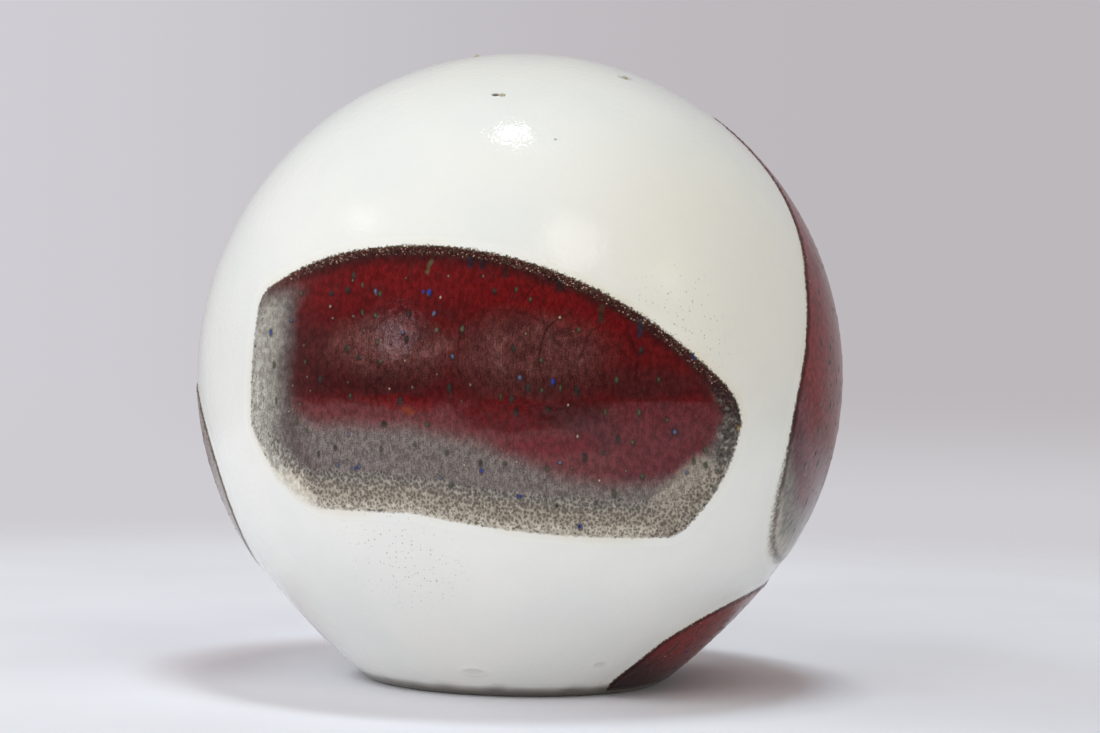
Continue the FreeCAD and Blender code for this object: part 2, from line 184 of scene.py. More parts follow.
def profile_distance(out):
    """Distance from the ball's centre to the CAD's outer surface along unit vectors."""
    down = np.arccos(np.clip(-out[:, 2], -1, 1))
    return np.select(
        [down < FLAT_ANGLE, down < ROUND_ANGLE, down < FLANK_ANGLE],
        [
            CENTRE_HEIGHT / np.maximum(np.cos(down), 0.5),
            circle_distance(down, ROUND_R, ROUND_Z, FOOT_ROUND),
            circle_distance(down, *FLANK_MIDDLE, FLANK_RADIUS),
        ],
        BALL_RADIUS,
    )


def surface_distance(out):
    """The same with the slow unevenness of a hand-made ball, which dies out towards the flat foot."""
    reach = profile_distance(out)
    points = out * reach[:, None] / MM
    above_foot = points[:, 2] + CENTRE_HEIGHT / MM
    uneven = 0.055 * noise(points, 17, 1) + 0.016 * noise(points, 6, 2)
    return reach + uneven * ramp(above_foot, 0.6, 7) * MM


def on_surface(chart, height, axes):
    """Points over the (across, up) plane of a facing, in mm, that lie height mm above the ball's surface."""
    across, up, out = axes
    flat = (chart[:, :1] * across + chart[:, 1:2] * up) * MM
    depth = np.sqrt(BALL_RADIUS ** 2 - np.sum(flat ** 2, axis=1))
    for _ in range(8):
        point = flat + depth[:, None] * out
        aim = unit(point)
        depth += (aim * surface_distance(aim)[:, None] - point) @ out
    reach = surface_distance(aim) + height * MM
    return CENTRE + aim * reach[:, None]


# ---- meshes and shaders


def add_piece(name, mesh, material):
    mesh.shade_smooth()
    mesh.materials.append(material)
    piece = bpy.data.objects.new(name, mesh)
    bpy.context.scene.collection.objects.link(piece)
    return piece


def make_object(name, vertices, faces, material):
    mesh = bpy.data.meshes.new(name)
    mesh.from_pydata([tuple(vertex) for vertex in vertices], [], faces)
    mesh.validate()
    return add_piece(name, mesh, material)


def ring_faces(rings, sides):
    """Four-sided faces between closed rings of vertices that follow each other."""
    faces = []
    for start in range(0, (rings - 1) * sides, sides):
        for column in range(sides):
            after = (column + 1) % sides
            faces.append((start + column, start + sides + column, start + sides + after, start + after))
    return faces


def paint(piece, name, values):
    """Stores one number, or one colour or vector, at every vertex."""
    values = np.asarray(values, dtype=float)
    kind, key = ("FLOAT", "value") if values.ndim == 1 else ("FLOAT_VECTOR", "vector")
    attribute = piece.data.attributes.new(name, kind, "POINT")
    attribute.data.foreach_set(key, values.ravel())


class Nodes:
    """Adds nodes to one tree. A value that is a socket gets linked, and a plain one is set."""

    def __init__(self, tree):
        self.tree = tree

    def add(self, kind, inputs=(), **settings):
        node = self.tree.nodes.new("ShaderNode" + kind)
        for key, value in settings.items():
            setattr(node, key, value)
        for key, value in dict(inputs).items():
            self.feed(node.inputs[key], value)
        return node

    def feed(self, socket, value):
        if isinstance(value, bpy.types.NodeSocket):
            self.tree.links.new(value, socket)
        elif socket.type == "RGBA":
            socket.default_value = (*value, 1)
        else:
            socket.default_value = value

    def stored(self, name, kind="Fac"):
        return self.add("Attribute", attribute_name=name).outputs[kind]

    def place(self):
        """The point's place in the part's frame, in mm."""
        return self.stretch(self.add("TexCoord").outputs["Object"], [1 / MM] * 3)

    def stretch(self, vector, scale):
        return self.add("Mapping", {"Vector": vector, "Scale": scale}).outputs[0]

    def noise(self, vector, size, detail=2.0, rough=0.5):
        """Noise with waves about size mm long, from 0 to 1."""
        inputs = {"Vector": vector, "Scale": 1 / size, "Detail": detail, "Roughness": rough}
        return self.add("TexNoise", inputs).outputs["Fac"]

    def math(self, operation, first, second):
        return self.add("Math", {0: first, 1: second}, operation=operation).outputs[0]

    def vector_math(self, operation, first, second):
        return self.add("VectorMath", {0: first, 1: second}, operation=operation).outputs[0]

    def ramp(self, value, low, high):
        inputs = {"Value": value, "From Min": low, "From Max": high}
        return self.add("MapRange", inputs, interpolation_type="SMOOTHSTEP").outputs[0]

    def between(self, share, low, high):
        """From low to high as the share goes from 0 to 1."""
        return self.add("MapRange", {"Value": share, "To Min": low, "To Max": high}).outputs[0]

    def mix(self, amount, first, second, blend="MIX"):
        inputs = {0: amount, 6: first, 7: second}
        return self.add("Mix", inputs, data_type="RGBA", blend_type=blend).outputs[2]

    def times(self, colour, factors):
        return self.mix(1.0, colour, factors, blend="MULTIPLY")

    def bump(self, height, millimetres, under=None):
        inputs = {"Height": height, "Distance": millimetres * MM, "Strength": 1.0}
        if under is not None:
            inputs["Normal"] = under
        return self.add("Bump", inputs).outputs[0]


class Shader(Nodes):
    """One material, built on its Principled shader."""

    def __init__(self, name):
        self.material = bpy.data.materials.new(name)
        self.material.use_nodes = True
        super().__init__(self.material.node_tree)
        self.skin = self.tree.nodes["Principled BSDF"]

    def set(self, **values):
        for key, value in values.items():
            self.feed(self.skin.inputs[key.replace("_", " ")], value)


def white_colour(shader):
    """The white glaze: faintly uneven, with its painted cream halo, fine red specks, and brown stains that
    also carry painted contact shade along the foot.
    """
    place = shader.place()
    cloud = shader.ramp(shader.noise(place, 14, detail=3), 0.35, 0.7)
    colour = shader.mix(cloud, srgb(237, 238, 234), srgb(232, 235, 232))
    colour = shader.mix(shader.stored("halo"), colour, srgb(222, 216, 196))
    speck = shader.add("TexVoronoi", {"Vector": place, "Scale": 2.4, "Randomness": 1.0})
    chance = shader.add("SeparateColor", {"Color": speck.outputs["Color"]}).outputs[0]
    size = shader.math("MULTIPLY", shader.math("MULTIPLY", chance, chance), 0.38)
    inside = shader.ramp(shader.math("SUBTRACT", size, speck.outputs["Distance"]), -0.04, 0.16)
    colour = shader.mix(shader.math("MULTIPLY", inside, shader.stored("spatter")), colour, srgb(138, 125, 98))
    # Dark brown: the marks' own stains, and painted shade of the floor contact along the foot's edge
    return shader.mix(shader.stored("stain_and_shade"), colour, srgb(74, 64, 52))


def glaze_skin(shader, extra=None):
    """The orange peel and pin-head ripples of a fired glaze, and any extra relief, in hundredths of a mm."""
    place = shader.place()
    peel = shader.bump(shader.noise(place, 1.3, detail=1.0), 0.030)
    fine = shader.bump(shader.noise(place, 0.55, detail=1.0), 0.030, peel)
    if extra is not None:
        fine = shader.bump(extra, 0.01, fine)
    shader.set(Normal=fine)


def make_white_glaze():
    shader = Shader("white_glaze_gloss")
    shader.set(Base_Color=white_colour(shader), Roughness=WHITE_ROUGH, IOR=GLAZE_IOR)
    glaze_skin(shader)
    return shader.material


def net_cells(shader, chart):
    """1 in the small dark cells between the net's worm-like pale lines, where the glaze pooled."""
    bent = chart
    for scale, detail, reach in ((1.3, 2.0, 0.6), (3.6, 1.0, 0.3)):
        waves = shader.add("TexNoise", {"Vector": chart, "Scale": scale, "Detail": detail})
        shift = shader.vector_math("MULTIPLY", waves.outputs["Color"], (reach, reach, 0.0))
        bent = shader.vector_math("ADD", bent, shift)
    inputs = {"Vector": shader.stretch(bent, (2.45, 1.8, 1)), "Scale": 1.0, "Randomness": 0.9}
    from_middle = shader.add("TexVoronoi", inputs, voronoi_dimensions="2D").outputs["Distance"]
    uneven = shader.math("MULTIPLY", shader.math("SUBTRACT", shader.noise(chart, 1.3, detail=3), 0.5), 0.3)
    net = shader.stored("net")
    size = shader.math("ADD", shader.between(net, 0.22, 0.48), uneven)
    cell = shader.ramp(shader.math("SUBTRACT", size, from_middle), -0.14, 0.14)
    return shader.math("MULTIPLY", shader.ramp(net, 0.0, 0.35), cell)


def frayed_cover(shader, chart):
    """1 where the stroke covers the white glaze, with an edge that frays."""
    fray = shader.noise(chart, 0.42, detail=3, rough=0.65)
    ragged = shader.math("MULTIPLY", shader.math("SUBTRACT", fray, 0.5), shader.stored("fray"))
    ragged = shader.math("ADD", ragged, shader.stored("cover"))
    return shader.ramp(ragged, -0.5, 0.5)


def make_copper_red_glaze():
    """Copper red over white: colours are painted on the vertices, and the fine nets and grain grow here."""
    shader = Shader("copper_red_gloss")
    chart = shader.stored("chart", "Vector")
    tint = shader.stored("tint", "Vector")

    # Clots: smoky upright patches of about a millimetre
    clots = shader.noise(shader.stretch(chart, (1.4, 0.9, 1)), 1.0, detail=4, rough=0.62)
    smoky = shader.mix(shader.ramp(clots, 0.36, 0.64), (0.70, 0.68, 0.68), (1.18, 1.18, 1.18))
    tint = shader.times(tint, smoky)

    # Grain: fine upright threads, and specks finer than a sand grain
    threads = shader.noise(shader.stretch(chart, (5, 1.2, 1)), 1.0, detail=3, rough=0.7)
    sand = shader.noise(chart, 0.20, detail=2, rough=0.7)
    shade = shader.ramp(shader.math("ADD", threads, sand), 0.80, 1.20)
    dark = shader.times(tint, (0.46, 0.43, 0.43))
    light = shader.times(tint, (1.46, 1.52, 1.54))
    colour = shader.mix(shader.stored("grain"), tint, shader.mix(shade, dark, light))
    colour = shader.mix(net_cells(shader, chart), colour, shader.times(tint, (0.44, 0.42, 0.42)))

    covered = frayed_cover(shader, chart)
    shader.set(
        Base_Color=shader.mix(covered, white_colour(shader), colour),
        Roughness=shader.between(covered, WHITE_ROUGH, RED_ROUGH),
        Specular_IOR_Level=0.25,
        IOR=GLAZE_IOR,
    )
    glaze_skin(shader, shader.math("MULTIPLY", covered, shader.math("ADD", clots, threads)))
    return shader.material


def make_clay(name, colour, grog):
    """Fired stoneware clay, dull and slightly sandy, with grog specks."""
    shader = Shader(name)
    place = shader.place()
    cloud = shader.ramp(shader.noise(place, 9, detail=4), 0.3, 0.7)
    base = shader.mix(cloud, colour, colour * 0.86)
    speck = shader.ramp(shader.noise(place, 0.5, detail=2), 0.66, 0.72)
    shader.set(Base_Color=shader.mix(speck, base, grog), Roughness=0.85)
    shader.set(Normal=shader.bump(shader.noise(place, 0.6, detail=4), 0.05))
    return shader.material


# ---- outlines


def cad_outline(name, axes):
    """The edge of a stroke's CAD solid on its (across, up) plane, in mm, counter-clockwise."""
    solid = bmesh.new()
    solid.from_mesh(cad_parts[name].data)
    bmesh.ops.remove_doubles(solid, verts=solid.verts, dist=1e-6)
    places = np.array([vertex.co for vertex in solid.verts]) - CENTRE
    proud = np.linalg.norm(places, axis=1) - profile_distance(unit(places))
    outside = proud > (proud.max() + proud.min()) / 2
    following = {}
    for face in solid.faces:
        ring = [vertex.index for vertex in face.verts]
        if outside[ring].all():
            for start, end in zip(ring, ring[1:] + ring[:1]):
                following[(start, end)] = True
    rim = {start: end for start, end in following if (end, start) not in following}
    start = min(rim)
    order = [start]
    while rim[order[-1]] != start:
        order.append(rim[order[-1]])
    solid.free()
    across, up, _ = axes
    return np.stack([places[order] @ across, places[order] @ up], axis=1) / MM


def even_steps(loop, step):
    """The closed loop again, with its points step apart."""
    closed = np.vstack([loop, loop[:1]])
    length = np.concatenate([[0], np.cumsum(np.linalg.norm(np.diff(closed, axis=0), axis=1))])
    count = round(length[-1] / step)
    places = np.linspace(0, length[-1], count, endpoint=False)
    return np.stack([np.interp(places, length, closed[:, axis]) for axis in (0, 1)], axis=1)


def grown(loop, distance):
    """The loop moved outwards."""
    ahead = np.roll(loop, -2, axis=0) - np.roll(loop, 2, axis=0)
    normal = unit(np.stack([ahead[:, 1], -ahead[:, 0]], axis=1))
    return loop + normal * distance


def inset_from(points, loop):
    """Distance of each point from the loop: positive inside it and negative outside."""
    nearest = np.full(len(points), 1e9)
    crossings = np.zeros(len(points), dtype=int)
    for start, end in zip(loop, np.roll(loop, -1, axis=0)):
        side = end - start
        offset = points - start
        part = np.clip(offset @ side / (side @ side), 0, 1)
        nearest = np.minimum(nearest, np.linalg.norm(offset - part[:, None] * side, axis=1))
        if start[1] != end[1]:
            spans = (start[1] > points[:, 1]) != (end[1] > points[:, 1])
            reach = start[0] + (points[:, 1] - start[1]) * side[0] / side[1]
            crossings += spans & (points[:, 0] < reach)
    return np.where(crossings % 2 == 1, nearest, -nearest)


def hex_points(low, high, step, seed):
    """A slightly shaken triangular grid over a box."""
    chance = np.random.default_rng(seed)
    rows = np.arange(low[1], high[1], step * math.sqrt(0.75))
    points = []
    for index, row in enumerate(rows):
        columns = np.arange(low[0] + step * (index % 2) / 2, high[0], step)
        points.append(np.stack([columns, np.full(len(columns), row)], axis=1))
    points = np.vstack(points)
    return points + chance.uniform(-0.12, 0.12, points.shape) * step


# ---- painting a stroke

CREAM = srgb(216, 210, 194)
BEIGE = srgb(170, 162, 146)
PALE_GREY = srgb(156, 153, 144)
GREY = srgb(117, 110, 106)
MAUVE_PINK = srgb(108, 56, 58)
MAUVE_BROWN = srgb(90, 50, 47)
PALE_MAUVE = srgb(114, 72, 68)
DARK_MAUVE = srgb(66, 30, 30)
BRIGHT_RED = srgb(106, 15, 17)
DARK_RED = srgb(87, 17, 19)
DEEP_RED = srgb(88, 10, 13)
MAROON = srgb(52, 17, 18)
CHAR = srgb(36, 29, 27)
OLIVE = srgb(98, 88, 66)

# Each kind of glaze spot: its core's colour, its half width and half height in mm, and how common it is
SPOT_KINDS = {
    "cobalt": (srgb(40, 62, 150), 0.34, 0.46, 0.04),
    "sky": (srgb(92, 108, 142), 0.28, 0.36, 0.07),
    "cream": (srgb(196, 174, 154), 0.18, 0.22, 0.08),
    "green": (srgb(76, 86, 58), 0.27, 0.46, 0.34),
    "dark": (srgb(46, 54, 50), 0.30, 0.56, 0.33),
    "fleck": (srgb(128, 116, 92), 0.15, 0.22, 0.30),
}


class Stroke:
    """One stroke's points on its (across, up) plane in mm, and what is painted on them."""

    def __init__(self, name, spots, crust_at, lines=()):
        around, above, self.seed = STROKES[name]
        self.name = name
        self.axes = facing(around, above)
        self.outline = even_steps(cad_outline(name, self.axes), OUTLINE_STEP)
        self.rim = even_steps(grown(self.outline, FEATHER), RIM_STEP)
        self.low = self.outline.min(axis=0) - FEATHER - 1
        self.high = self.outline.max(axis=0) + FEATHER + 1
        self.crust_at = crust_at
        self.lines = lines
        self.map_distances()
        self.spots = spots + self.chance_spots()
        self.points = self.spread_points()
        self.start_paint()

    # Where things are

    def map_distances(self):
        """Distances from the outline on a grid, because looking them up is much quicker than measuring."""
        columns = np.arange(self.low[0], self.high[0], GRID_STEP)
        rows = np.arange(self.low[1], self.high[1], GRID_STEP)
        grid = np.stack(np.meshgrid(columns, rows), axis=2).reshape(-1, 2)
        self.distances = inset_from(grid, self.outline).reshape(len(rows), len(columns))

    def inset(self, points):
        place = (points - self.low) / GRID_STEP
        rows, columns = self.distances.shape
        cell = np.clip(np.floor(place).astype(int), 0, [columns - 2, rows - 2])
        part = np.clip(place - cell, 0, 1)
        column, row = cell.T
        below = self.distances[row, column] * (1 - part[:, 0])
        below += self.distances[row, column + 1] * part[:, 0]
        above = self.distances[row + 1, column] * (1 - part[:, 0])
        above += self.distances[row + 1, column + 1] * part[:, 0]
        return below * (1 - part[:, 1]) + above * part[:, 1]

    def from_side(self, points, axis, sign):
        """Distance to the outline's far side in one direction: axis 0 is across and 1 is up."""
        other = 1 - axis
        bins = np.arange(self.low[other], self.high[other], 1.0)
        index = np.clip(np.digitize(self.outline[:, other], bins), 0, len(bins) - 1)
        edge = np.full(len(bins), -1e9)
        np.maximum.at(edge, index, sign * self.outline[:, axis])
        known = edge > -1e8
        line = np.interp(points[:, other], bins[known] - 0.5, edge[known])
        return line - sign * points[:, axis]

    def chance_spots(self):
        """Seeded spots over the stroke, nowhere close together."""
        chance = np.random.default_rng(self.seed)
        kinds = list(SPOT_KINDS)
        share = np.array([SPOT_KINDS[kind][3] for kind in kinds])
        found = []
        for place in chance.uniform(self.low, self.high, (600, 2)):
            kind = chance.choice(kinds, p=share / share.sum())
            inside = self.inset(place[None])[0] > SPOTS_INSET
            apart = all(math.dist(place, other[:2]) > SPOTS_APART for other in found)
            if inside and apart and len(found) < MOST_SPOTS:
                found.append((*place, kind))
        return found

    def spread_points(self):
        """Points for the skin: coarse in the middle, finer at the rim, finest at the spots and the crust."""
        coarse = 1.0
        chosen = []
        for level, step in enumerate(SKIN_STEPS):
            points = hex_points(self.low, self.high, step * coarse, self.seed + level)
            inset = self.inset(points)
            rim = (inset > -0.4) & (inset < 1.7)
            for line in self.lines:
                away, part = self.beside(points, line)
                rim |= (away < 0.35) & (part < 1)
            fine = (inset > -0.3) & (inset < 1.4) & (self.crust_at(points) > 0.2)
            for across, up, kind in self.spots:
                fine |= np.hypot(points[:, 0] - across, points[:, 1] - up) < 1.7 * SPOT_KINDS[kind][2]
            wanted = [~rim & ~fine, rim & ~fine, fine][level]
            chosen.append(points[wanted & (inset > 0.1 - FEATHER)])
        return np.vstack(chosen)

    # Paint

    def start_paint(self):
        points = self.points = np.vstack([self.rim, self.points])
        count = len(points)
        self.across, self.up = points.T
        self.loose_across = self.across + 1.3 * self.noise(6, 60) + 0.4 * self.noise(1.6, 61)
        self.loose_up = self.up + 1.0 * self.noise(6, 62) + 0.35 * self.noise(1.6, 63)
        self.depth = self.inset(points)
        self.drop = self.from_side(points, 1, 1)
        self.lift = self.from_side(points, 1, -1)
        self.from_left = self.from_side(points, 0, -1)
        self.from_right = self.from_side(points, 0, 1)
        self.tint = np.tile(MAUVE_BROWN, (count, 1))
        self.net = np.zeros(count)
        self.grain = np.full(count, 0.35)
        self.soft = np.full(count, 0.32)
        self.fray = np.full(count, 0.9)
        self.height = np.zeros(count)

    def lay(self, colour, mask, at=slice(None)):
        """Paints the colour as thickly as the mask says, on all points or on those with the indices at."""
        self.tint[at] += (colour - self.tint[at]) * mask[:, None]

    def dab(self, colour, strength, *ellipse):
        self.lay(colour, self.blob(*ellipse) * strength)

    def noise(self, size, offset, octaves=3, stretch=1.0):
        return mottle(self.points * [1.0, 1 / stretch], size, self.seed * 7 + offset, octaves)

    def blob(self, across, up, wide, tall, power=1.0):
        """1 in the middle of a wandering ellipse and 0 outside it. A higher power gives it a crisper edge."""
        reach = np.hypot((self.loose_across - across) / wide, (self.loose_up - up) / tall)
        return ramp(1 - reach, 0, 0.6 / power)

    def streak(self, start, end, wide):
        """1 along the line between two places, and 0 from wide mm beside it."""
        along = np.subtract(end, start)
        offset = self.points - start
        part = np.clip(offset @ along / (along @ along), 0, 1)
        return ramp(np.linalg.norm(offset - part[:, None] * along, axis=1), wide, 0.35 * wide)

    def beside(self, points, line):
        """How far points are from a brush line in mm, and how far along it, from 0 to 1."""
        across, up, radius, start, end, _ = line
        offset = points - [across, up]
        turn = np.degrees(np.arctan2(offset[:, 1], offset[:, 0]))
        wander = 0.45 * mottle(points, 3.0, self.seed * 7 + 90, 2)
        away = np.abs(np.linalg.norm(offset, axis=1) - radius + wander)
        return away, ((turn - start) % 360) / ((end - start) % 360)

    def put_lines(self):
        """Brush lines: thin dark arcs that fade out at both ends."""
        for line in self.lines:
            away, part = self.beside(self.points, line)
            self.lay(MAROON * 0.5, ramp(away, 0.26, 0.02) * ramp(part, 0, 0.3) * ramp(part, 1, 0.6) * line[5])

    def put_spots(self):
        """Each spot is a small bead of glass with a coloured core in a dark ring; the core sits high so that
        the ring shows darker below it, as painted shade of a bead lit from above.
        """
        wobble = 1 + 0.45 * self.noise(0.5, 33, octaves=1)
        chance = np.random.default_rng(self.seed + 300)
        for across, up, kind in self.spots:
            colour, wide, tall, _ = SPOT_KINDS[kind]
            wide *= chance.uniform(0.7, 1.15)
            tall *= chance.uniform(0.6, 1.15)
            near = np.flatnonzero(np.hypot(self.across - across, self.up - up) < 2.2 * tall)
            right = (self.across[near] - across) / wide
            higher = (self.up[near] - up) / tall
            ring = np.hypot(right, higher) * wobble[near]
            # Painted light: the core is set high, so the dark ring shows mostly below it
            core = np.hypot(right, higher - 0.25) * wobble[near]
            self.lay(CHAR, 0.7 * ramp(ring, 1.7, 0.7), near)
            self.lay(colour, 0.9 * ramp(core, 1.0, 0.3), near)
            self.height[near] += 0.05 * ramp(ring, 1.3, 0.2)
            self.grain[near] *= ramp(ring, 0.8, 1.5)

    def put_crust(self):
        """Grains of burnt glaze along the thick edges, like fine roe; the pale ones are painted glints on
        these beads.
        """
        chance = np.random.default_rng(self.seed + 500)
        grains = hex_points(self.low, self.high, GRAIN_STEP, self.seed + 501)
        grains += chance.uniform(-0.1, 0.1, grains.shape)
        inset = self.inset(grains)
        chosen = chance.uniform(0, 1, len(grains)) < self.crust_at(grains)
        for place in grains[chosen & (inset > -0.15) & (inset < 1.25)]:
            # Painted highlight: the pale grains stand for glints of light on the beads, the dark ones are
            # their burnt colour
            light = chance.uniform() < PALE_GLINT_GRAINS
            radius = chance.uniform(0.06, 0.13) if light else chance.uniform(0.12, 0.20)
            base = srgb(205, 172, 155) if light else (OLIVE * 0.7, MAROON)[chance.integers(2)]
            tone = base * chance.uniform(0.4, 1.1)
            near = np.flatnonzero(np.abs(self.across - place[0]) < radius)
            near = near[np.abs(self.up[near] - place[1]) < radius]
            reach = np.linalg.norm(self.points[near] - place, axis=1) / radius
            self.lay(tone, ramp(reach, 1.0, 0.3) * (1.0 if light else 0.7), near)
            self.height[near] += 0.06 * np.sqrt(np.clip(1 - reach ** 2, 0, 1))

    def build(self):
        """The stroke's closed shell: its skin, a wall round the film's edge, and a coarse underside."""
        rim_count = len(self.rim)
        skin_points, skin = triangles(self.points, rim_count)
        under_grid = hex_points(self.low, self.high, UNDER_STEP, self.seed + 9)
        under_grid = under_grid[self.inset(under_grid) > 1.0 - FEATHER]
        under_points, under = triangles(np.vstack([self.points[:rim_count], under_grid]), rim_count)
        body = ramp(self.depth, -0.15, 0.9) * (BODY + 0.035 * self.noise(2.2, 31))
        film = FILM * (0.25 + 0.75 * ramp(self.depth, -FEATHER, -0.3))
        height = film + body + self.height * ramp(self.depth, -0.1, 0.2)
        top = on_surface(skin_points, height, self.axes)
        low = on_surface(under_points, np.full(len(under_points), -SUNK), self.axes)
        shift = len(top)
        faces = [tuple(face) for face in skin]
        faces += [tuple(corner + shift for corner in reversed(face)) for face in under]
        for corner in range(rim_count):
            after = (corner + 1) % rim_count
            faces.append((after, corner, corner + shift, after + shift))
        name = self.name + "_glaze"
        piece = make_object(name, np.vstack([top, low]), faces, COPPER_RED)
        for edge in piece.data.edges:
            edge.use_edge_sharp = max(edge.vertices) < rim_count
        self.store_paint(piece, top, len(low))
        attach(piece, "root")
        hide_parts(self.name)

    def store_paint(self, piece, top, spare):
        """Stores what the shader reads at the skin's vertices, and plain values at the spare ones below."""
        chart = np.column_stack([self.points, np.zeros(len(top))])
        paint(piece, "chart", np.vstack([chart, np.zeros((spare, 3))]))
        paint(piece, "tint", np.vstack([self.tint, np.tile(MAROON, (spare, 1))]))
        for label, values in (
            ("net", self.net),
            ("grain", self.grain),
            ("fray", self.fray / self.soft),
            ("cover", self.depth / self.soft),
            ("halo", halo(top)),
            ("spatter", patches(top, SPATTERS)),
            ("stain_and_shade", foot_stain_and_shade(top)),
        ):
            paint(piece, label, np.concatenate([values, np.ones(spare)]))


def triangles(points, rim_count):
    """Points of a plane joined into triangles, inside the closed rim that the first rim_count make."""
    rim = [(corner, (corner + 1) % rim_count) for corner in range(rim_count)]
    places = [tuple(point) for point in points]
    corners, _, faces, *_ = delaunay_2d_cdt(places, rim, [list(range(rim_count))], 1, 1e-5)
    if len(corners) != len(points):
        raise RuntimeError("the stroke's points were merged or split")
    return np.array([tuple(corner) for corner in corners]), faces


# ---- the five strokes

# The clearest spots of the front stroke: (across, up) in mm
FRONT_SPOTS = {
    "cobalt": [(0, -11), (12.5, -18.2), (-29.8, 6), (4.8, -14.2), (-8.2, 12), (9, 0.7)],
    "sky": [
        (-5.4, -12), (-19.6, -11), (-16.5, -11), (-10.7, 6.6),
        (-26.7, 7.7), (4.8, 1.2), (10, -9.7), (26, -11),
    ],
    "cream": [(-18, 13.2), (-21, 9.7), (11, -2.2), (4.5, -9.7), (15, -12)],
    "green": [
        (12.1, 7.5), (-14.1, 11.5), (-16.4, 9.1), (10, 0),
        (2.4, -1.3), (19.2, -7), (23.5, -4), (28.4, -10),
    ],
}

# Its brush lines: the arc's middle and radius in mm, its two angles in degrees, and its strength
FRONT_LINES = [
    (13.5, 4.0, 6.4, 100, 250, 0.6), (9.0, 4.5, 12.3, 160, 205, 0.55), (8.0, 3.0, 11.4, -25, 50, 0.5),
    (11.0, 1.0, 7.6, -10, 55, 0.4), (14.5, 2.0, 4.4, 130, 235, 0.3), (8.0, 0.0, 12.4, 8, 42, 0.4),
    (-14.0, 9.0, 12.0, 200, 260, 0.4), (16.0, 12.0, 9.0, 170, 250, 0.45), (12.0, 6.0, 9.0, 80, 170, 0.4),
    (2.0, 0.0, 10.0, 30, 110, 0.35), (-6.0, 2.0, 9.0, 150, 230, 0.35), (20.0, 2.0, 8.0, 100, 200, 0.4),
]

# The runs and blots that hang from its upper edge: start, end, half width in mm, and colour
FRONT_RUNS = [
    ((14.8, 10.6), (14.8, 8.7), 0.42, srgb(46, 46, 36)), ((19.8, 9.0), (19.8, 6.9), 0.45, srgb(36, 42, 56)),
    ((9.3, 13.8), (9.5, 12.9), 0.75, srgb(40, 24, 26)), ((-2.2, 16.3), (-2.2, 15.6), 0.6, srgb(40, 32, 46)),
    ((-0.6, 16.0), (-0.6, 15.4), 0.6, srgb(38, 26, 34)), ((2.4, 14.9), (2.4, 14.3), 0.6, srgb(44, 24, 26)),
    ((-7.4, 16.0), (-7.9, 14.5), 0.30, srgb(84, 88, 60)), ((26.8, 5.0), (26.7, 4.2), 0.5, srgb(36, 50, 96)),
]


def front_crust(points):
    """How thickly burnt grains lie on the front stroke's edge: along its top, but few at the left."""
    across, up = points.T
    return ramp(up + 0.12 * across, 0.5, 7) * (0.3 + 0.7 * ramp(across, -31, -23))


def front_red(stroke, cloud):
    """Red all over at first, brighter in a band under the upper edge."""
    drop = stroke.drop + 0.9 * stroke.noise(6, 1)
    stroke.lay(DARK_RED, np.ones(len(drop)))
    stroke.lay(BRIGHT_RED, ramp(drop, 9.5, 5.0) * (0.75 + 0.25 * cloud))
    stroke.lay(DARK_RED, ramp(stroke.noise(2.6, 6), 0.0, 0.7) * 0.6)
    stroke.lay(DARK_MAUVE, ramp(stroke.noise(1.8, 5, stretch=1.5), 0.1, 0.8) * 0.5)


def front_middle(stroke, cloud, fine):
    """The mauve brown middle, with pinker and darker clouds, and a dark waist under it."""
    middle = np.maximum(stroke.blob(-12.5, 4.2, 12.5, 6.0), stroke.blob(6.0, 4.0, 14.5, 7.2))
    stroke.lay(MAUVE_BROWN, middle * 0.95)
    stroke.lay(PALE_MAUVE, middle * ramp(cloud + 0.5 * fine, 0.0, 0.7) * 0.8)
    stroke.lay(DARK_MAUVE, middle * ramp(cloud + 0.5 * fine, 0.0, -0.7) * 0.8)
    stroke.dab(PALE_MAUVE, 0.25, -16.0, 5.0, 6.5, 3.6)
    stroke.dab(DARK_MAUVE, 0.65, -23.5, 1.5, 5.5, 8.5)
    stroke.dab(DARK_MAUVE, 0.6, -14.0, -0.5, 8.0, 2.5)
    stroke.grain += 0.45 * middle
    waist = ramp(np.abs(stroke.loose_up - 0.4), 2.8, 0.6)
    stroke.lay(MAROON, waist * (0.45 + 0.25 * cloud) * ramp(stroke.loose_across, -27, -20))


def front_lobes(stroke, cloud, fine):
    """Below the middle mauve pink, and the red lobes with their crisp lower edges."""
    below = ramp(stroke.loose_up + 0.7 * cloud + 0.4 * fine, -1.6, -3.6)
    stroke.lay(MAUVE_PINK, below * (0.85 + 0.15 * fine))
    stroke.dab(BRIGHT_RED, 0.5, -11.0, -2.4, 6.8, 1.3, 1.6)
    stroke.dab(srgb(134, 60, 32), 0.6, -9.5, -3.3, 1.6, 0.6)
    stroke.dab(DARK_RED, 0.6, -22.5, -2.4, 4.0, 1.3)
    stroke.dab(DEEP_RED, 0.9, 3.4, -3.7, 8.2, 2.7, 1.6)
    stroke.dab(MAROON, 0.65, 11.5, -3.4, 7.0, 2.4)
    stroke.dab(srgb(72, 34, 38), 0.6, 14.5, -6.2, 5.5, 3.2)
    stroke.dab(srgb(104, 30, 38), 0.7, 9.0, -7.4, 8.0, 2.2)


def front_step(stroke, cloud):
    """To the right, red above a straight step and mauve red below it."""
    stroke.dab(DARK_RED, 0.7, 21.0, 4.5, 8.0, 5.0)
    stroke.dab(DARK_MAUVE, 0.5, 21.0, 1.0, 9.0, 3.0)
    step = ramp(stroke.up, -1.4, -2.0) * ramp(stroke.loose_across, 15, 19)
    step *= ramp(stroke.from_right, 2.2, 3.6)
    stroke.lay(srgb(100, 42, 47), step * 0.9)
    stroke.lay(DARK_RED, step * ramp(cloud, 0.0, 0.6) * 0.6)
    stroke.lay(srgb(74, 36, 40), step * ramp(cloud, 0.0, -0.6) * 0.6)


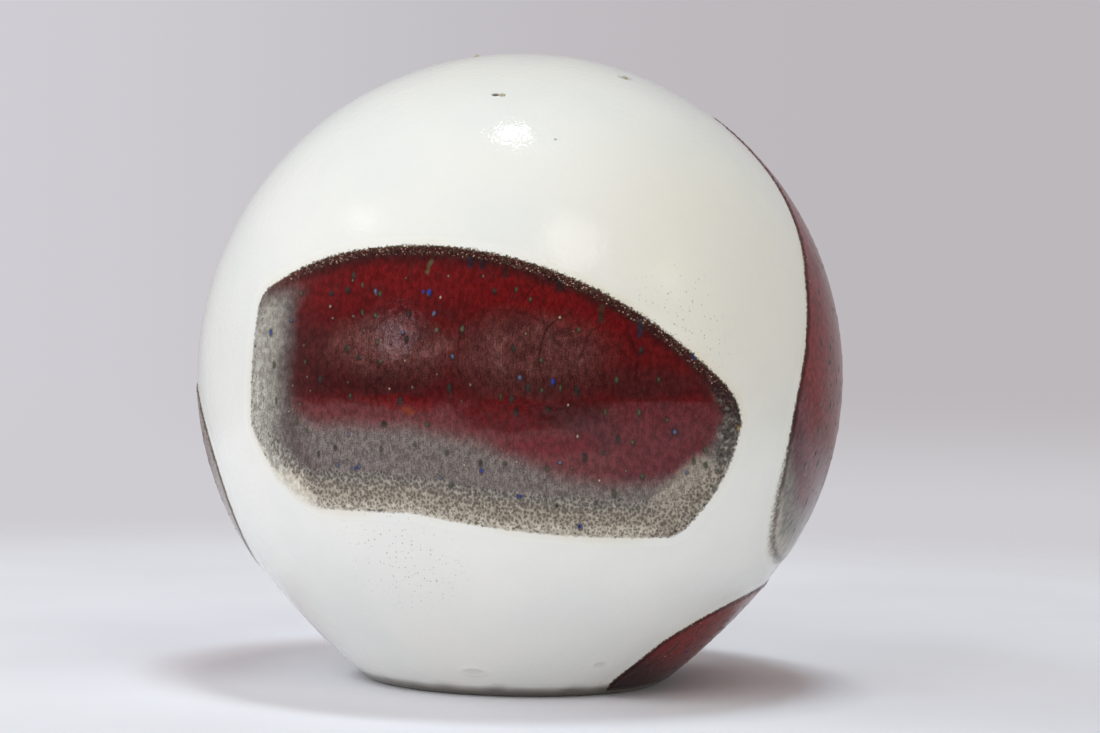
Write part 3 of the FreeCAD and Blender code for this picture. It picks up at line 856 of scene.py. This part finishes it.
def front_grey(stroke, fine, lift):
    """Grey, speckled, above the net."""
    across = stroke.loose_across
    grey_top = 11.2 - 4.2 * ramp(across, -4, 16) + 0.7 * ramp(across, 17, 25)
    grey = ramp(lift, grey_top + 1.8, grey_top - 1.6)
    stroke.lay(GREY, grey * 0.95)
    stroke.lay(GREY * 0.7, grey * ramp(fine, 0.0, 0.7) * 0.5)
    stroke.grain += grey * 0.35


def front_left_end(stroke, fine):
    """The left end: dark, then grey, then pale grey."""
    left = stroke.from_left + 1.3 * stroke.noise(5, 10) + 0.5 * fine
    up = stroke.loose_up
    below_top = ramp(up, 14, 9)
    stroke.lay(DARK_MAUVE, ramp(left, 10, 6.0) * 0.5 * below_top)
    stroke.lay(srgb(98, 90, 87), ramp(left, 7.6, 4.8) * below_top * 0.95)
    stroke.lay(PALE_GREY, ramp(left, 5.6, 2.8) * ramp(up, 13, 8) * 0.95)
    stroke.lay(srgb(178, 176, 166), ramp(left, 3.2, 1.0) * ramp(up, 12, 6) * 0.85)


def front_net(stroke, lift):
    """The net along the lower edge."""
    net = ramp(lift + 0.5 * stroke.noise(1.2, 8), 5.8, 4.4) * ramp(stroke.from_left, 1.5, 4.0)
    stroke.lay(PALE_GREY, net * 0.8)
    stroke.lay(BEIGE * 0.94, net * ramp(lift, 5.0, 2.6) * 0.9)
    stroke.lay(CREAM * 0.86, ramp(lift, 2.0, 0.7) * 0.8)
    stroke.net = net * ramp(lift, 0.0, 0.8) * (0.45 + 0.55 * ramp(lift, 1.0, 4.2))
    stroke.grain *= 1 - 0.75 * net


def front_right_end(stroke, cloud, fine):
    """The right end: mottled dark, grey and white, with one pale smear."""
    end = ramp(stroke.from_right + 0.9 * cloud, 3.6, 1.8) * ramp(stroke.up, 2.0, -0.5)
    patch = stroke.noise(0.9, 13, octaves=3) + 0.05 * (-4 - stroke.up)
    stroke.lay(srgb(62, 54, 52), end * 0.85)
    stroke.lay(srgb(118, 112, 106), end * ramp(patch, -0.2, 0.35))
    stroke.lay(srgb(186, 180, 168), end * ramp(patch, 0.3, 0.7) * 0.8)
    stroke.net = np.maximum(stroke.net, end * 0.6)
    low_end = ramp(stroke.from_right + 0.6 * cloud, 6.5, 3.0) * ramp(stroke.up, -9, -13)
    stroke.lay(BEIGE, low_end * 0.7)
    stroke.lay(srgb(84, 76, 70), low_end * ramp(stroke.noise(0.8, 14, octaves=2), 0.05, 0.4) * 0.8)
    smear = stroke.streak((28.0, -10.6), (23.2, -15.2), 3.0) ** 1.6 * ramp(fine, -0.9, 0.3)
    stroke.lay(srgb(164, 156, 142), smear * 0.8)
    stroke.net *= 1 - 0.6 * smear
    stroke.dab(srgb(150, 128, 66), 0.8, 33.0, -5.2, 0.9, 0.6)


def front_edge(stroke, cloud, fine):
    """Maroon under the crust of the upper edge, and specks of olive round the rest."""
    crust = front_crust(stroke.points)
    stroke.lay(MAROON, ramp(stroke.drop + 0.6 * cloud, 3.4, 1.2) * ramp(stroke.across, -28, -22) * 0.85)
    stroke.lay(srgb(62, 28, 26), ramp(stroke.depth + 0.3 * fine, 1.9, 1.1) * crust * 0.9)
    stroke.lay(OLIVE, ramp(stroke.depth + 0.2 * fine, 0.45, -0.05) * crust * 0.85)
    stroke.lay(srgb(150, 142, 118), ramp(stroke.depth + 0.2 * fine, 0.0, -0.4) * crust * 0.8)
    specks = ramp(stroke.noise(0.55, 12, octaves=2), 0.0, 0.4) * (1 - crust)
    stroke.lay(OLIVE * 0.8, ramp(stroke.depth, 1.2, 0.2) * specks * 0.9)
    stroke.fray += 0.35 * crust


def front_corner(stroke):
    """The lower left corner thins out to cream."""
    corner = stroke.blob(-28.0, -16.0, 6.5, 5.0)
    stroke.lay(CREAM, corner * 0.95)
    stroke.net *= 1 - 0.7 * corner
    stroke.soft += 2.0 * corner
    stroke.fray += 1.6 * corner
    stroke.grain *= 1 - 0.7 * corner


def paint_front():
    """The broad stroke towards the viewer: red where it is thick, grey and netted where it thins out."""
    spots = [(*place, kind) for kind, places in FRONT_SPOTS.items() for place in places]
    stroke = Stroke("front_stroke", spots, front_crust, FRONT_LINES)
    cloud = stroke.noise(3.2, 2)
    fine = stroke.noise(1.1, 3, stretch=1.8)
    lift = stroke.lift + 0.5 * stroke.noise(4, 4)
    front_red(stroke, cloud)
    front_middle(stroke, cloud, fine)
    front_lobes(stroke, cloud, fine)
    front_step(stroke, cloud)
    front_grey(stroke, fine, lift)
    front_left_end(stroke, fine)
    front_net(stroke, lift)
    front_right_end(stroke, cloud, fine)
    front_edge(stroke, cloud, fine)
    front_corner(stroke)
    for start, end, wide, colour in FRONT_RUNS:
        stroke.lay(colour, stroke.streak(start, end, wide) * 0.85)
    stroke.put_lines()
    stroke.put_spots()
    stroke.put_crust()
    stroke.build()


def paint_side(name, crust, finish):
    """The strokes that the viewer sees little of: red, clouded with mauve, with a thin dark rim.

    crust holds how thickly burnt grains lie on the upper edge, and the heights between which they begin.
    """
    strength, low, high = crust
    stroke = Stroke(name, [], lambda points: strength * ramp(points[:, 1], low, high))
    cloud = stroke.noise(5, 2)
    fine = stroke.noise(1.3, 3, stretch=1.8)
    stroke.lay(srgb(126, 40, 42), np.full(len(stroke.points), 0.9))
    stroke.lay(srgb(118, 66, 70), ramp(cloud, 0.1, 0.7) * 0.7)
    stroke.lay(srgb(96, 24, 28), ramp(cloud + 0.4 * fine, 0.0, -0.6) * 0.8)
    finish(stroke, cloud)
    stroke.lay(MAROON, ramp(stroke.depth + 0.3 * fine, 1.1, 0.4) * 0.75)
    stroke.lay(OLIVE * 0.7, ramp(stroke.depth + 0.3 * fine, 0.35, 0.0) * 0.7)
    stroke.put_spots()
    stroke.put_crust()
    stroke.build()


def net_on_right(stroke, cloud):
    """A band of pale net along the stroke's right edge."""
    net = ramp(stroke.from_right + 0.4 * cloud, 4.6, 3.8)
    stroke.lay(BEIGE, net * 0.8)
    stroke.net = net * ramp(stroke.from_right, 0.7, 1.6)


def finish_right(stroke, cloud):
    """Mauve grey on its far side, and a low end that thins out through grey to cream."""
    stroke.lay(srgb(122, 104, 106), ramp(stroke.from_right + 2 * cloud, 12, 6) * 0.8)
    stroke.lay(PALE_MAUVE, ramp(np.abs(stroke.from_left + 2 * cloud - 11), 5, 1) * 0.5)
    stroke.lay(srgb(112, 84, 88), ramp(stroke.lift + 2 * cloud, 20, 9) * 0.7)
    stroke.lay(srgb(84, 44, 50), ramp(stroke.lift, 15, 9) * ramp(stroke.from_left, 7, 2) * 0.8)
    stroke.lay(srgb(128, 126, 118), ramp(stroke.lift + cloud, 8, 4.5) * 0.9)
    stroke.lay(CREAM * 0.8, ramp(stroke.lift + cloud, 3.5, 1.0) * 0.8)
    net_on_right(stroke, cloud)
    stroke.soft += 0.9 * ramp(stroke.lift, 6, 1)
    stroke.fray += 1.0 * ramp(stroke.lift, 6, 1)


def finish_lower_right(stroke, cloud):
    """Bright red above, and nearly black towards the foot, as painted shade where it meets the floor."""
    stroke.lay(srgb(122, 26, 29), ramp(stroke.up + cloud, -3, 3) * 0.8)
    # Painted shade: darker, then nearly black, down towards the floor contact
    stroke.lay(srgb(46, 24, 24), ramp(stroke.up + 2 * cloud, 4, -4) * 0.9)
    stroke.lay(CHAR, ramp(stroke.up + cloud, -4, -8) * 0.9)


def finish_plain(stroke, cloud):
    """Mauve grey on one side, ending in a net."""
    stroke.lay(srgb(122, 104, 106), ramp(stroke.from_right + 2 * cloud, 10, 5) * 0.8)
    net_on_right(stroke, cloud)


# ---- the white ball

# Marks in the white glaze: place, half width and half height in mm, dent, rim height in mm, and stain
MARKS = [
    ((-9.5, 57.3), 0.55, 0.40, -0.30, 0.05, 0.95),
    ((47.9, 66.3), 1.40, 0.90, 0.00, 0.03, 0.34),
    ((-12.4, -57.2), 1.70, 0.85, -0.03, 0.07, 0.14),
    ((25.5, -54.9), 0.90, 0.60, 0.00, 0.03, 0.18),
    ((7.2, 45.1), 0.22, 0.20, -0.06, 0.00, 0.60),
]

# Where the white turned creamy: place, reach in mm, strength
CREAM_CLOUDS = [
    ((38, 20), 30, 0.42),
    ((-30, 75), 22, 0.15),
    ((150, 10), 34, 0.30),
    ((-120, -30), 26, 0.20),
]

# Where the lower right stroke ran out over the foot, painted dark both as that glaze and as the shade beside
# the floor contact: place, reach in mm, strength
FOOT_STAINS_AND_SHADE = [((angle, -64.0), 3.4, 1.0) for angle in (46, 52, 58, 64, 70)]

# Where fine specks of the red glaze fell on the white: place, reach in mm, density
SPATTERS = [
    ((-23, -31), 12, 0.6),
    ((28, 11), 11, 0.6),
    ((140, 30), 14, 0.6),
    ((-150, -20), 12, 0.6),
]


def edge_tree():
    """Every stroke's edge, lifted onto the ball, ready for nearest-point questions."""
    places = []
    for name, (around, above, _) in STROKES.items():
        axes = facing(around, above)
        outline = even_steps(cad_outline(name, axes), OUTLINE_STEP)
        places.append(on_surface(outline, np.zeros(len(outline)), axes))
    places = np.vstack(places)
    tree = KDTree(len(places))
    for index, place in enumerate(places):
        tree.insert(place, index)
    tree.balance()
    return tree


def patches(points, places):
    """Sum of soft round patches, each given by its place, its reach in mm and its strength."""
    total = np.zeros(len(points))
    for place, reach, strength in places:
        middle = CENTRE + facing(*place)[2] * BALL_RADIUS
        away = np.linalg.norm(points - middle, axis=1) / MM
        total += strength * ramp(away, reach, 0.25 * reach)
    return np.clip(total, 0, 1)


def halo(points):
    """Cream stain of the white glaze, from 0 to 1: in broad clouds, and close beside a stroke."""
    away = np.array([EDGES.find(point)[2] for point in points]) / MM
    patchy = ramp(noise(points / MM, 9, 71), -0.5, 0.4)
    beside = 0.42 * patchy * ramp(away + 0.4 * noise(points / MM, 2.5, 72), 1.8, 0.0)
    return np.clip(beside + patches(points, CREAM_CLOUDS), 0, 1)


def foot_stain_and_shade(points):
    """The worn edge of the foot and the glaze that ran out over it, both also darkened as painted shade of
    the floor contact, from 0 to 1.
    """
    # Painted shade: the dark ring up to about 2 mm above the floor is partly a wiped foot and partly the
    # contact shade under the ball
    worn_and_shaded = ramp(points[:, 2] / MM + 0.25 * noise(points / MM, 3, 77), 2.0, 0.8)
    from_axis = np.hypot(points[:, 0], points[:, 1]) / MM
    edge = ROUND_R / MM
    ring = 0.85 * worn_and_shaded * ramp(from_axis, edge - 2.0, edge - 0.5)
    return np.maximum(ring, patches(points, FOOT_STAINS_AND_SHADE))


def mark_shape(points, mark):
    """(reach, height in mm) of points near a mark. The reach is 1 at the mark's edge."""
    place, wide, tall, dent, rim, _ = mark
    across, up, out = facing(*place)
    offset = (points - CENTRE) / MM
    reach = np.hypot(offset @ across / wide, offset @ up / tall)
    reach = np.where(offset @ out > 0, reach, 99)
    return reach, dent * ramp(reach, 1.0, 0.2) + rim * np.exp(-((reach - 1.0) / 0.3) ** 2)


def ball_rows():
    """The shell's profile, (distance from the axis, height), from the top, over the foot, to inside."""
    turn = np.pi - np.concatenate([
        np.linspace(np.pi, ROUND_ANGLE, BALL_ROWS)[1:-1],
        np.linspace(ROUND_ANGLE, FLAT_ANGLE, ROUND_ROWS)[:-1],
        np.linspace(FLAT_ANGLE, math.atan2(VENT_RADIUS, CENTRE_HEIGHT), FOOT_ROWS),
    ])
    out = np.stack([np.sin(turn), np.zeros(len(turn)), np.cos(turn)], axis=1)
    outer = out * profile_distance(out)[:, None]
    inner = out[::-3] * (profile_distance(out[::-3])[:, None] - COAT_THICK)
    inner[0, 0] = VENT_RADIUS
    rows = np.vstack([outer, inner])[:, [0, 2]]
    return rows + [0, CENTRE_HEIGHT]


def build_ball():
    """The white glaze coat: a closed thin shell with a hole in its foot, finer round its small marks."""
    rows = ball_rows()
    turn = np.linspace(0, 2 * np.pi, COLUMNS, endpoint=False)
    ring = np.stack([np.cos(turn), np.sin(turn)], axis=1)
    rings = [np.column_stack([radius * ring, np.full(COLUMNS, height)]) for radius, height in rows]
    outer_top = CENTRE_HEIGHT + BALL_RADIUS
    vertices = np.vstack([*rings, [[0, 0, outer_top], [0, 0, outer_top - COAT_THICK]]])
    faces = ring_faces(len(rows), COLUMNS)
    top = len(vertices) - 2
    last = (len(rows) - 1) * COLUMNS
    for column in range(COLUMNS):
        after = (column + 1) % COLUMNS
        faces.append((top, column, after))
        faces.append((top + 1, last + after, last + column))
    ball = make_object("white_glaze_ball", vertices, faces, WHITE_GLAZE)
    refine_near_marks(ball.data)
    shape_surface(ball)
    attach(ball, "root")
    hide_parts("white_glaze_coat")


def outer_skin(places):
    """Which places lie on the shell's outside, not on its inside."""
    offset = places - CENTRE
    return np.linalg.norm(offset, axis=1) > profile_distance(unit(offset)) - COAT_THICK / 2


def refine_near_marks(mesh):
    """Divides the outer faces round each mark three times, each time over a smaller circle."""
    work = bmesh.new()
    work.from_mesh(mesh)
    for level in (3, 2, 1):
        work.verts.ensure_lookup_table()
        places = np.array([vertex.co for vertex in work.verts])
        outer = outer_skin(places)
        near = np.zeros(len(places), dtype=bool)
        for place, wide, tall, *_ in MARKS:
            aim = facing(*place)[2]
            middle = CENTRE + aim * profile_distance(aim[None])[0]
            reach = (max(wide, tall) * 1.4 + 0.5 * level) * MM
            near |= outer & (np.linalg.norm(places - middle, axis=1) < reach)
        edges = [edge for edge in work.edges if near[edge.verts[0].index] and near[edge.verts[1].index]]
        bmesh.ops.subdivide_edges(work, edges=edges, cuts=1, use_grid_fill=True)
    bmesh.ops.triangulate(work, faces=[face for face in work.faces if len(face.verts) > 4])
    work.to_mesh(mesh)
    work.free()


def shape_surface(ball):
    """Moves the outer skin onto the uneven surface, presses the marks into it, and paints it."""
    mesh = ball.data
    count = len(mesh.vertices)
    places = np.empty(count * 3)
    mesh.vertices.foreach_get("co", places)
    places = places.reshape(-1, 3)
    aim = unit(places - CENTRE)
    outer = outer_skin(places)
    stain_and_shade = np.zeros(count)
    height = np.zeros(count)
    for mark in MARKS:
        edge, rise = mark_shape(places, mark)
        height += np.where(edge < 5, rise, 0)
        stain_and_shade = np.maximum(stain_and_shade, mark[5] * ramp(edge, 1.3, 0.5))
    # The foot's share is partly a worn foot and glaze run, and partly painted contact shade
    stain_and_shade = np.maximum(stain_and_shade, foot_stain_and_shade(places))
    surface = surface_distance(aim) + height * MM
    places[outer] = (CENTRE + aim * surface[:, None])[outer]
    mesh.vertices.foreach_set("co", places.ravel())
    mesh.update()
    mesh.shade_smooth()
    paint(ball, "halo", halo(places))
    paint(ball, "spatter", patches(places, SPATTERS))
    paint(ball, "stain_and_shade", stain_and_shade)


def build_crumbs():
    """The bits of kiln grit that the three points of the stilt left behind, as rough lumps."""
    work = bmesh.new()
    for index, place in enumerate(STILT_CRUMBS):
        across, up, out = facing(*place)
        lump = bmesh.ops.create_icosphere(work, subdivisions=4, radius=1.0)["verts"]
        shape = unit(np.array([vertex.co for vertex in lump]))
        rough = 1 + 0.22 * noise(shape, 0.7, 80 + index) + 0.10 * noise(shape, 0.3, 90 + index)
        size = CRUMB_SIZE * rough[:, None]
        middle = CENTRE + out * surface_distance(out[None])[0]
        for vertex, point in zip(lump, shape * size * MM):
            vertex.co = middle + across * point[0] + up * point[1] + out * point[2]
    mesh = bpy.data.meshes.new("stilt_grit")
    work.to_mesh(mesh)
    work.free()
    crumbs = add_piece("stilt_grit", mesh, STILT_GRIT)
    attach(crumbs, "root")
    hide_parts("stilt_crumbs")


def finish_inner_clay():
    """The clay inside keeps its CAD shapes and gets clay materials."""
    for name, material in (
        ("upper_clay_half", CLAY),
        ("lower_clay_half", CLAY),
        ("joining_slip", SLIP),
        ("seam_coil", CLAY),
    ):
        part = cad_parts[name]
        for place in part.material_slots:
            place.material = material


# ---- stage, light and camera

CAMERA_AWAY = 450 * MM
CAMERA_ABOVE = 2.0  # degrees
CAMERA_ROLL = 1.2  # degrees, anticlockwise
CAMERA_WIDE = 19.92  # degrees from the frame's left side to its right
AIM_RIGHT = 0.549  # degrees that the camera looks past the ball's centre
AIM_UP = 0.155

BACKDROP_LEFT = srgb(208, 206, 212)
BACKDROP_RIGHT = srgb(188, 184, 188)
BACKDROP_LOW = srgb(206, 204, 208)
ROOM_BACK = np.array([0.46, 0.43, 0.45])
ROOM_FRONT = np.array([0.08, 0.08, 0.08])
ROOM_TOP = np.array([0.30, 0.25, 0.22])
ROOM_LOW = np.array([0.30, 0.30, 0.30])
FLOOR_PALE = srgb(240, 240, 246)
FLOOR_RADIUS = 300 * MM
FLOOR_HEIGHT = -0.02 * MM
FLOOR_SIDES = 96
FLOOR_FADE = (165, 290)  # mm from the middle, between which the cloth thins out

# Lamps: (around, above), distance in m, width and height in m, brightness, colour, and if glaze mirrors them
LAMPS = {
    "overhead_lamp": ((-133, 86), 1.2, (0.12, 0.12), 28.0, (1.0, 0.99, 0.97), True),
    "window": ((23.5, 47), 1.2, (0.38, 0.46), 1.5, (1.0, 0.98, 0.92), True),
    "left_sky": ((-80, 43), 1.2, (0.30, 0.12), 1.6, (0.96, 0.98, 1.0), True),
    "right_glow": ((57.5, 30.5), 1.4, (0.22, 0.28), 0.8, (1.0, 0.94, 0.82), True),
    "low_left_gleam": ((-44, 13), 1.4, (0.14, 0.28), 7.0, (0.92, 0.86, 1.0), True),
    "ceiling_wash": ((60, 85), 1.2, (0.26, 0.26), 19.0, (0.84, 1.0, 1.08), False),
    "high_left_wash": ((-60, 55), 1.4, (0.50, 0.50), 0.3, (0.70, 1.0, 1.22), False),
    "front_left_wash": ((-40, 30), 1.6, (1.0, 1.0), 1.8, (0.97, 0.99, 1.01), False),
    "left_wash": ((-95, 25), 1.6, (1.4, 1.2), 1.3, (0.91, 1.0, 1.03), False),
    "low_front_wash": ((-14, 1), 1.6, (1.2, 0.8), 2.2, (1.0, 0.89, 0.79), False),
    "low_right_wash": ((50, 4), 1.6, (1.2, 0.8), 1.45, (0.95, 0.98, 0.92), False),
}


def put_on_stage(name, data, axes, place):
    """Adds a camera or a lamp that stands at a place, with its X, Y and Z along three unit vectors."""
    matrix = np.eye(4)
    matrix[:3, :3] = np.stack(axes, axis=1)
    matrix[:3, 3] = place
    item = bpy.data.objects.new(name, data)
    item.matrix_world = Matrix(matrix)
    bpy.context.scene.collection.objects.link(item)
    return item


def add_camera():
    """Aims the camera so that the ball's centre falls a little left of the frame's middle and below it."""
    above = math.radians(CAMERA_ABOVE)
    roll = math.radians(CAMERA_ROLL)
    back = np.array([0, -math.cos(above), math.sin(above)])
    level_up = np.array([0, math.sin(above), math.cos(above)])
    right = math.cos(roll) * np.array([1.0, 0, 0]) + math.sin(roll) * level_up
    up = math.cos(roll) * level_up - math.sin(roll) * np.array([1.0, 0, 0])
    ahead = unit(-back + math.tan(math.radians(AIM_RIGHT)) * right + math.tan(math.radians(AIM_UP)) * up)
    right = unit(right - (right @ ahead) * ahead)
    up = np.cross(right, ahead)
    data = bpy.data.cameras.new("camera")
    data.sensor_width = 36
    data.angle = math.radians(CAMERA_WIDE)
    data.clip_start = 0.01
    place = CENTRE + back * CAMERA_AWAY
    bpy.context.scene.camera = put_on_stage("camera", data, (right, up, -ahead), place)


def add_lamps():
    for name, (place, away, size, brightness, colour, shows) in LAMPS.items():
        data = bpy.data.lights.new(name, "AREA")
        data.shape = "ELLIPSE"
        data.size, data.size_y = size
        data.energy = brightness * math.pi * size[0] * size[1]
        data.color = colour
        axes = facing(*place)
        lamp = put_on_stage(name, data, axes, CENTRE + axes[2] * away)
        lamp.visible_camera = False
        lamp.visible_glossy = shows


def add_world():
    """A plain pale backdrop, and a room that is brightest overhead and dark behind the camera."""
    world = bpy.data.worlds.new("studio")
    bpy.context.scene.world = world
    world.use_nodes = True
    world.node_tree.nodes.clear()
    shader = Nodes(world.node_tree)
    direction = shader.add("TexCoord").outputs["Generated"]
    axes = shader.add("SeparateXYZ", {"Vector": direction}).outputs
    seen = shader.mix(shader.ramp(axes[0], -0.2, 0.1), BACKDROP_LEFT, BACKDROP_RIGHT)
    seen = shader.mix(shader.ramp(axes[2], -0.035, -0.075), seen, BACKDROP_LOW)
    front = shader.ramp(axes[1], 0.2, -0.7)
    room = shader.mix(front, ROOM_BACK, ROOM_FRONT)
    room = shader.mix(shader.ramp(axes[2], 0.15, 0.9), room, ROOM_TOP)
    room = shader.mix(shader.ramp(axes[2], 0.0, -0.3), room, ROOM_LOW)
    backdrop = shader.add("Background", {"Color": seen})
    light = shader.add("Background", {"Color": room})
    looked_at = shader.add("LightPath").outputs["Is Camera Ray"]
    both = shader.add("MixShader", {0: looked_at, 1: light.outputs[0], 2: backdrop.outputs[0]})
    output = shader.add("OutputWorld")
    shader.feed(output.inputs["Surface"], both.outputs[0])


def add_floor():
    """A round cloth that fades into the backdrop."""
    rings = [*np.linspace(0.002, 0.05, 10), *np.linspace(0.06, FLOOR_RADIUS, 24)]
    turn = np.linspace(0, 2 * np.pi, FLOOR_SIDES, endpoint=False)
    vertices = [(r * math.cos(t), r * math.sin(t), FLOOR_HEIGHT) for r in rings for t in turn]
    vertices.append((0, 0, FLOOR_HEIGHT))
    faces = ring_faces(len(rings), FLOOR_SIDES)
    faces += [(len(vertices) - 1, column, (column + 1) % FLOOR_SIDES) for column in range(FLOOR_SIDES)]
    make_object("floor", vertices, faces, make_cloth())


def make_cloth():
    """A pale dull cloth that thins out to nothing far from the ball."""
    shader = Shader("pale_floor")
    place = shader.place()
    cloud = shader.ramp(shader.noise(place, 60, detail=2), 0.3, 0.7)
    colour = shader.mix(cloud, FLOOR_PALE, FLOOR_PALE * 0.95)
    shader.set(Base_Color=colour, Roughness=0.9, Specular_IOR_Level=0.1)
    away = shader.add("VectorMath", {0: place}, operation="LENGTH").outputs["Value"]
    gone = shader.ramp(away, *FLOOR_FADE)
    clear = shader.add("BsdfTransparent")
    both = shader.add("MixShader", {0: gone, 1: shader.skin.outputs[0], 2: clear.outputs[0]})
    shader.feed(shader.tree.nodes["Material Output"].inputs["Surface"], both.outputs[0])
    return shader.material


# ---- putting it together

bpy.context.scene.view_settings.view_transform = "Standard"

add_camera()
add_lamps()
add_world()
add_floor()

WHITE_GLAZE = make_white_glaze()
COPPER_RED = make_copper_red_glaze()
CLAY = make_clay("fired_clay", srgb(196, 178, 152), srgb(120, 96, 72))
SLIP = make_clay("fired_slip", srgb(206, 192, 168), srgb(150, 130, 104))
STILT_GRIT = make_clay("kiln_grit", srgb(186, 178, 156), srgb(96, 80, 60))
EDGES = edge_tree()

build_ball()
build_crumbs()
finish_inner_clay()
paint_front()
paint_side("right_stroke", (0.2, 0, 12), finish_right)
paint_side("lower_right_stroke", (0.2, 0, 8), finish_lower_right)
paint_side("left_stroke", (0.3, 0, 8), finish_plain)
paint_side("back_stroke", (0.8, 2, 9), finish_plain)
